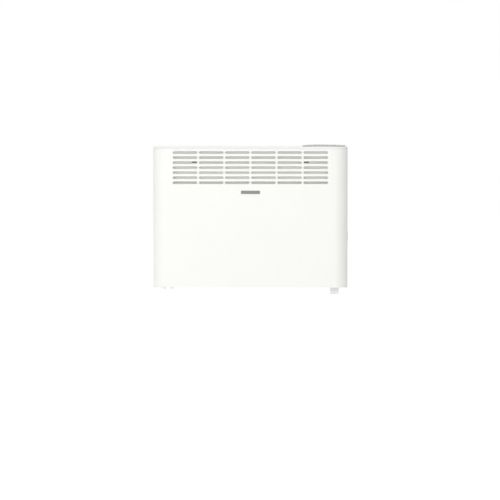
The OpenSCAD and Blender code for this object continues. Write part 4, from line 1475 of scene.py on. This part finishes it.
@dataclass
class CasingScrews:
    """Pan-head screws with a cross recess, one modelled and copied to each place."""

    head: float = 3.6
    thick: float = 2.0
    shank: float = 1.7
    length: float = 7.0
    crown: float = 0.9
    # The length, depth and width of the recess's two slots, and its turn.
    cross: tuple[float, float, float] = (3.8, 0.9, 0.8)
    cross_turn: float = math.radians(30)
    # By how much each screw is turned against the one before.
    next_turn: float = 0.7
    panel_margin: float = 5.3
    rear_in: float = 7.0
    rear_shares: tuple[float, ...] = (0.12, 0.5, 0.88)
    base_in: float = 5.0
    base_along: tuple[float, ...] = (-18.0, -44.0)

    def screw(self) -> Workpiece:
        """Models one screw: its seat at the origin and its head along +Y.

        Returns:
            The screw.
        """
        screw = Workpiece.rod("screw", (0, self.thick / 2, 0), self.head, self.thick, Axis.Y, sides=24)
        screw.round_edges(in_plane(TO_WALL, self.thick), self.crown, segments=3)
        long, deep, wide = self.cross
        for turn in (0.0, math.pi / 2):
            blade = Workpiece.block("blade", (-long / 2, self.thick - deep, -wide / 2),
                                    (long / 2, self.thick + deep, wide / 2))
            screw.combine(blade.turn(turn + self.cross_turn, TO_WALL, ORIGIN), Cut.TAKE_AWAY)
        shank = Workpiece.rod("shank", (0, -self.length / 2, 0), self.shank, self.length, Axis.Y, sides=16)
        return screw.join(shank)

    def build(self) -> None:
        """Places the screws in the rear flanges and in the lower flange."""
        half = CASING.half - CASING.sheet
        panel_top = CASING.front_height + CASING.depth * math.tan(CASING.slope) - self.panel_margin
        rear = [(side * (half - self.rear_in), CASING.back, CASING.low + share * panel_top)
                for side in (-1, 1) for share in self.rear_shares]
        base = [(side * (half - self.base_in), CASING.back + along, CASING.low)
                for side in (-1, 1) for along in self.base_along]
        pattern = self.screw()
        for name, places, down in (("rear_screws", rear, False), ("base_screws", base, True)):
            copies = []
            for i, place in enumerate(places):
                one = pattern.copied("screw_copy")
                one.turn(self.next_turn * i, TO_WALL, ORIGIN)
                if down:
                    one.turn(-math.pi / 2, TO_RIGHT, ORIGIN)
                copies.append(one.move(place))
            copies[0].join(*copies[1:])
            copies[0].obj.name = name + "_dressed"
            copies[0].finish(ZINC_SCREW, "zinc_steel", replaces=(name,))
        pattern.discard()


@dataclass(frozen=True)
class Lamp:
    """A soft square lamp that faces the object."""

    name: str
    place: Point
    size: float
    power: float

    def add(self, aim: Vector) -> None:
        """Adds the lamp.

        Args:
            aim: the point that it faces, in metres.
        """
        data = bpy.data.lights.new(self.name, "AREA")
        data.size = self.size
        data.energy = self.power
        lamp = bpy.data.objects.new(self.name, data)
        lamp.location = self.place
        lamp.rotation_euler = (aim - Vector(self.place)).to_track_quat("-Z", "Y").to_euler()
        bpy.context.scene.collection.objects.link(lamp)


@dataclass
class Studio:
    """The camera, the pale floor and the soft lamps, in metres and watts."""

    distance: float = 9.0
    elevation: float = math.radians(1.5)
    aim: Point = (-0.0013, -0.123, -0.0873)
    lens: float = 217.1
    sensor: float = 36.0
    floor: float = -0.46
    floor_side: float = 60.0
    floor_tone: str = "#f3f3f3"
    floor_glow: float = 0.6
    floor_roughness: float = 0.9
    ambient: float = 0.52
    mirrored: float = 0.82
    lean: float = 0.16
    lamps: tuple[Lamp, ...] = (
        Lamp("key", (-1.7, -5.0, 1.5), 3.2, 75.0),
        Lamp("fill", (-1.0, -5.0, 0.0), 3.0, 28.0),
        Lamp("overhead", (0.2, -0.5, 3.4), 2.6, 44.0),
    )

    def build(self) -> None:
        """Sets up the camera, the world, the floor and the lamps."""
        scene = bpy.context.scene
        scene.view_settings.view_transform = "Standard"
        self.add_camera(scene)
        self.add_world(scene)
        self.add_floor()
        for lamp in self.lamps:
            lamp.add(Vector(self.aim))

    def add_camera(self, scene: bpy.types.Scene) -> None:
        """Adds the camera at the photograph's angle.

        Args:
            scene: the scene that gets the camera.
        """
        aim = Vector(self.aim)
        camera = bpy.data.objects.new("camera", bpy.data.cameras.new("camera"))
        back = Vector((0, -math.cos(self.elevation), math.sin(self.elevation)))
        camera.location = aim + back * self.distance
        camera.rotation_euler = (math.pi / 2 - self.elevation, 0, 0)
        camera.data.lens = self.lens
        camera.data.sensor_width = self.sensor
        scene.collection.objects.link(camera)
        scene.camera = camera

    def add_world(self, scene: bpy.types.Scene) -> None:
        """Adds a pale surround, a little darker on the right, that looks white where the camera sees it.

        Args:
            scene: the scene that gets the surround.
        """
        world = bpy.data.worlds.new("surround")
        world.use_nodes = True
        seen = add_node(world, "LightPath")
        straight = blend(world, "MAXIMUM", seen.outputs["Is Camera Ray"], seen.outputs["Is Transmission Ray"])
        mirrored = blend(world, "MULTIPLY", seen.outputs["Is Glossy Ray"], self.mirrored)
        level = blend(world, "MAXIMUM", mirrored, self.ambient)
        towards = add_node(world, "TexCoord")
        parts = add_node(world, "SeparateXYZ", {"Vector": towards.outputs["Generated"]})
        side = add_node(world, "MapRange", {"Value": parts.outputs["X"], "From Min": -1.0, "From Max": 1.0,
                                            "To Min": 1.0 + self.lean, "To Max": 1.0 - self.lean})
        leant = blend(world, "MULTIPLY", level, side.outputs["Result"])
        feed(world, world.node_tree.nodes["Background"], {
            "Color": WHITE, "Strength": blend(world, "MAXIMUM", leant, straight)})
        scene.world = world

    def add_floor(self) -> None:
        """Adds the floor: white to the camera, with a soft shadow on it, and clear from underneath."""
        clear_selection()
        bpy.ops.mesh.primitive_plane_add(size=self.floor_side, location=(0, 0, self.floor))
        floor = bpy.context.active_object
        floor.name = "floor"
        paint = Paint("matt_white_floor")
        material, shader = paint.material, paint.shader
        feed(material, shader, {
            "Base Color": linear(self.floor_tone), "Roughness": self.floor_roughness,
            "Specular IOR Level": 0.0})
        seen = add_node(material, "LightPath")
        share = blend(material, "MAXIMUM", seen.outputs["Is Camera Ray"], seen.outputs["Is Glossy Ray"])
        strength = blend(material, "MULTIPLY", share, self.floor_glow)
        glow = add_node(material, "Emission", {"Color": WHITE, "Strength": strength})
        both = add_node(material, "AddShader", {0: shader.outputs[0], 1: glow.outputs[0]})
        side = add_node(material, "NewGeometry")
        clear = add_node(material, "BsdfTransparent")
        sided = add_node(material, "MixShader", {
            0: side.outputs["Backfacing"], 1: both.outputs[0], 2: clear.outputs[0]})
        feed(material, material.node_tree.nodes["Material Output"], {"Surface": sided.outputs[0]})
        floor.data.materials.append(material)


def dress_cad_nodes() -> None:
    """Gives each CAD node that stays its own finish."""
    for name, finish in CAD_FINISHES.items():
        obj = bpy.data.objects[name]
        obj.data.materials.clear()
        obj.data.materials.append(finish.material())
        LOG.info("%s: dressed in %s", name, finish.name)


def main() -> None:
    """Builds the scene around the frame, in order."""
    Studio().build()
    dress_cad_nodes()
    for assembly in (FrontShell(), TopCover(), ControlUnit(), MainsSwitch(), CordHood(), FrontPlate(),
                     CasingScrews()):
        assembly.build()
        LOG.info("%s done", type(assembly).__name__)


if __name__ == "__main__":
    main()
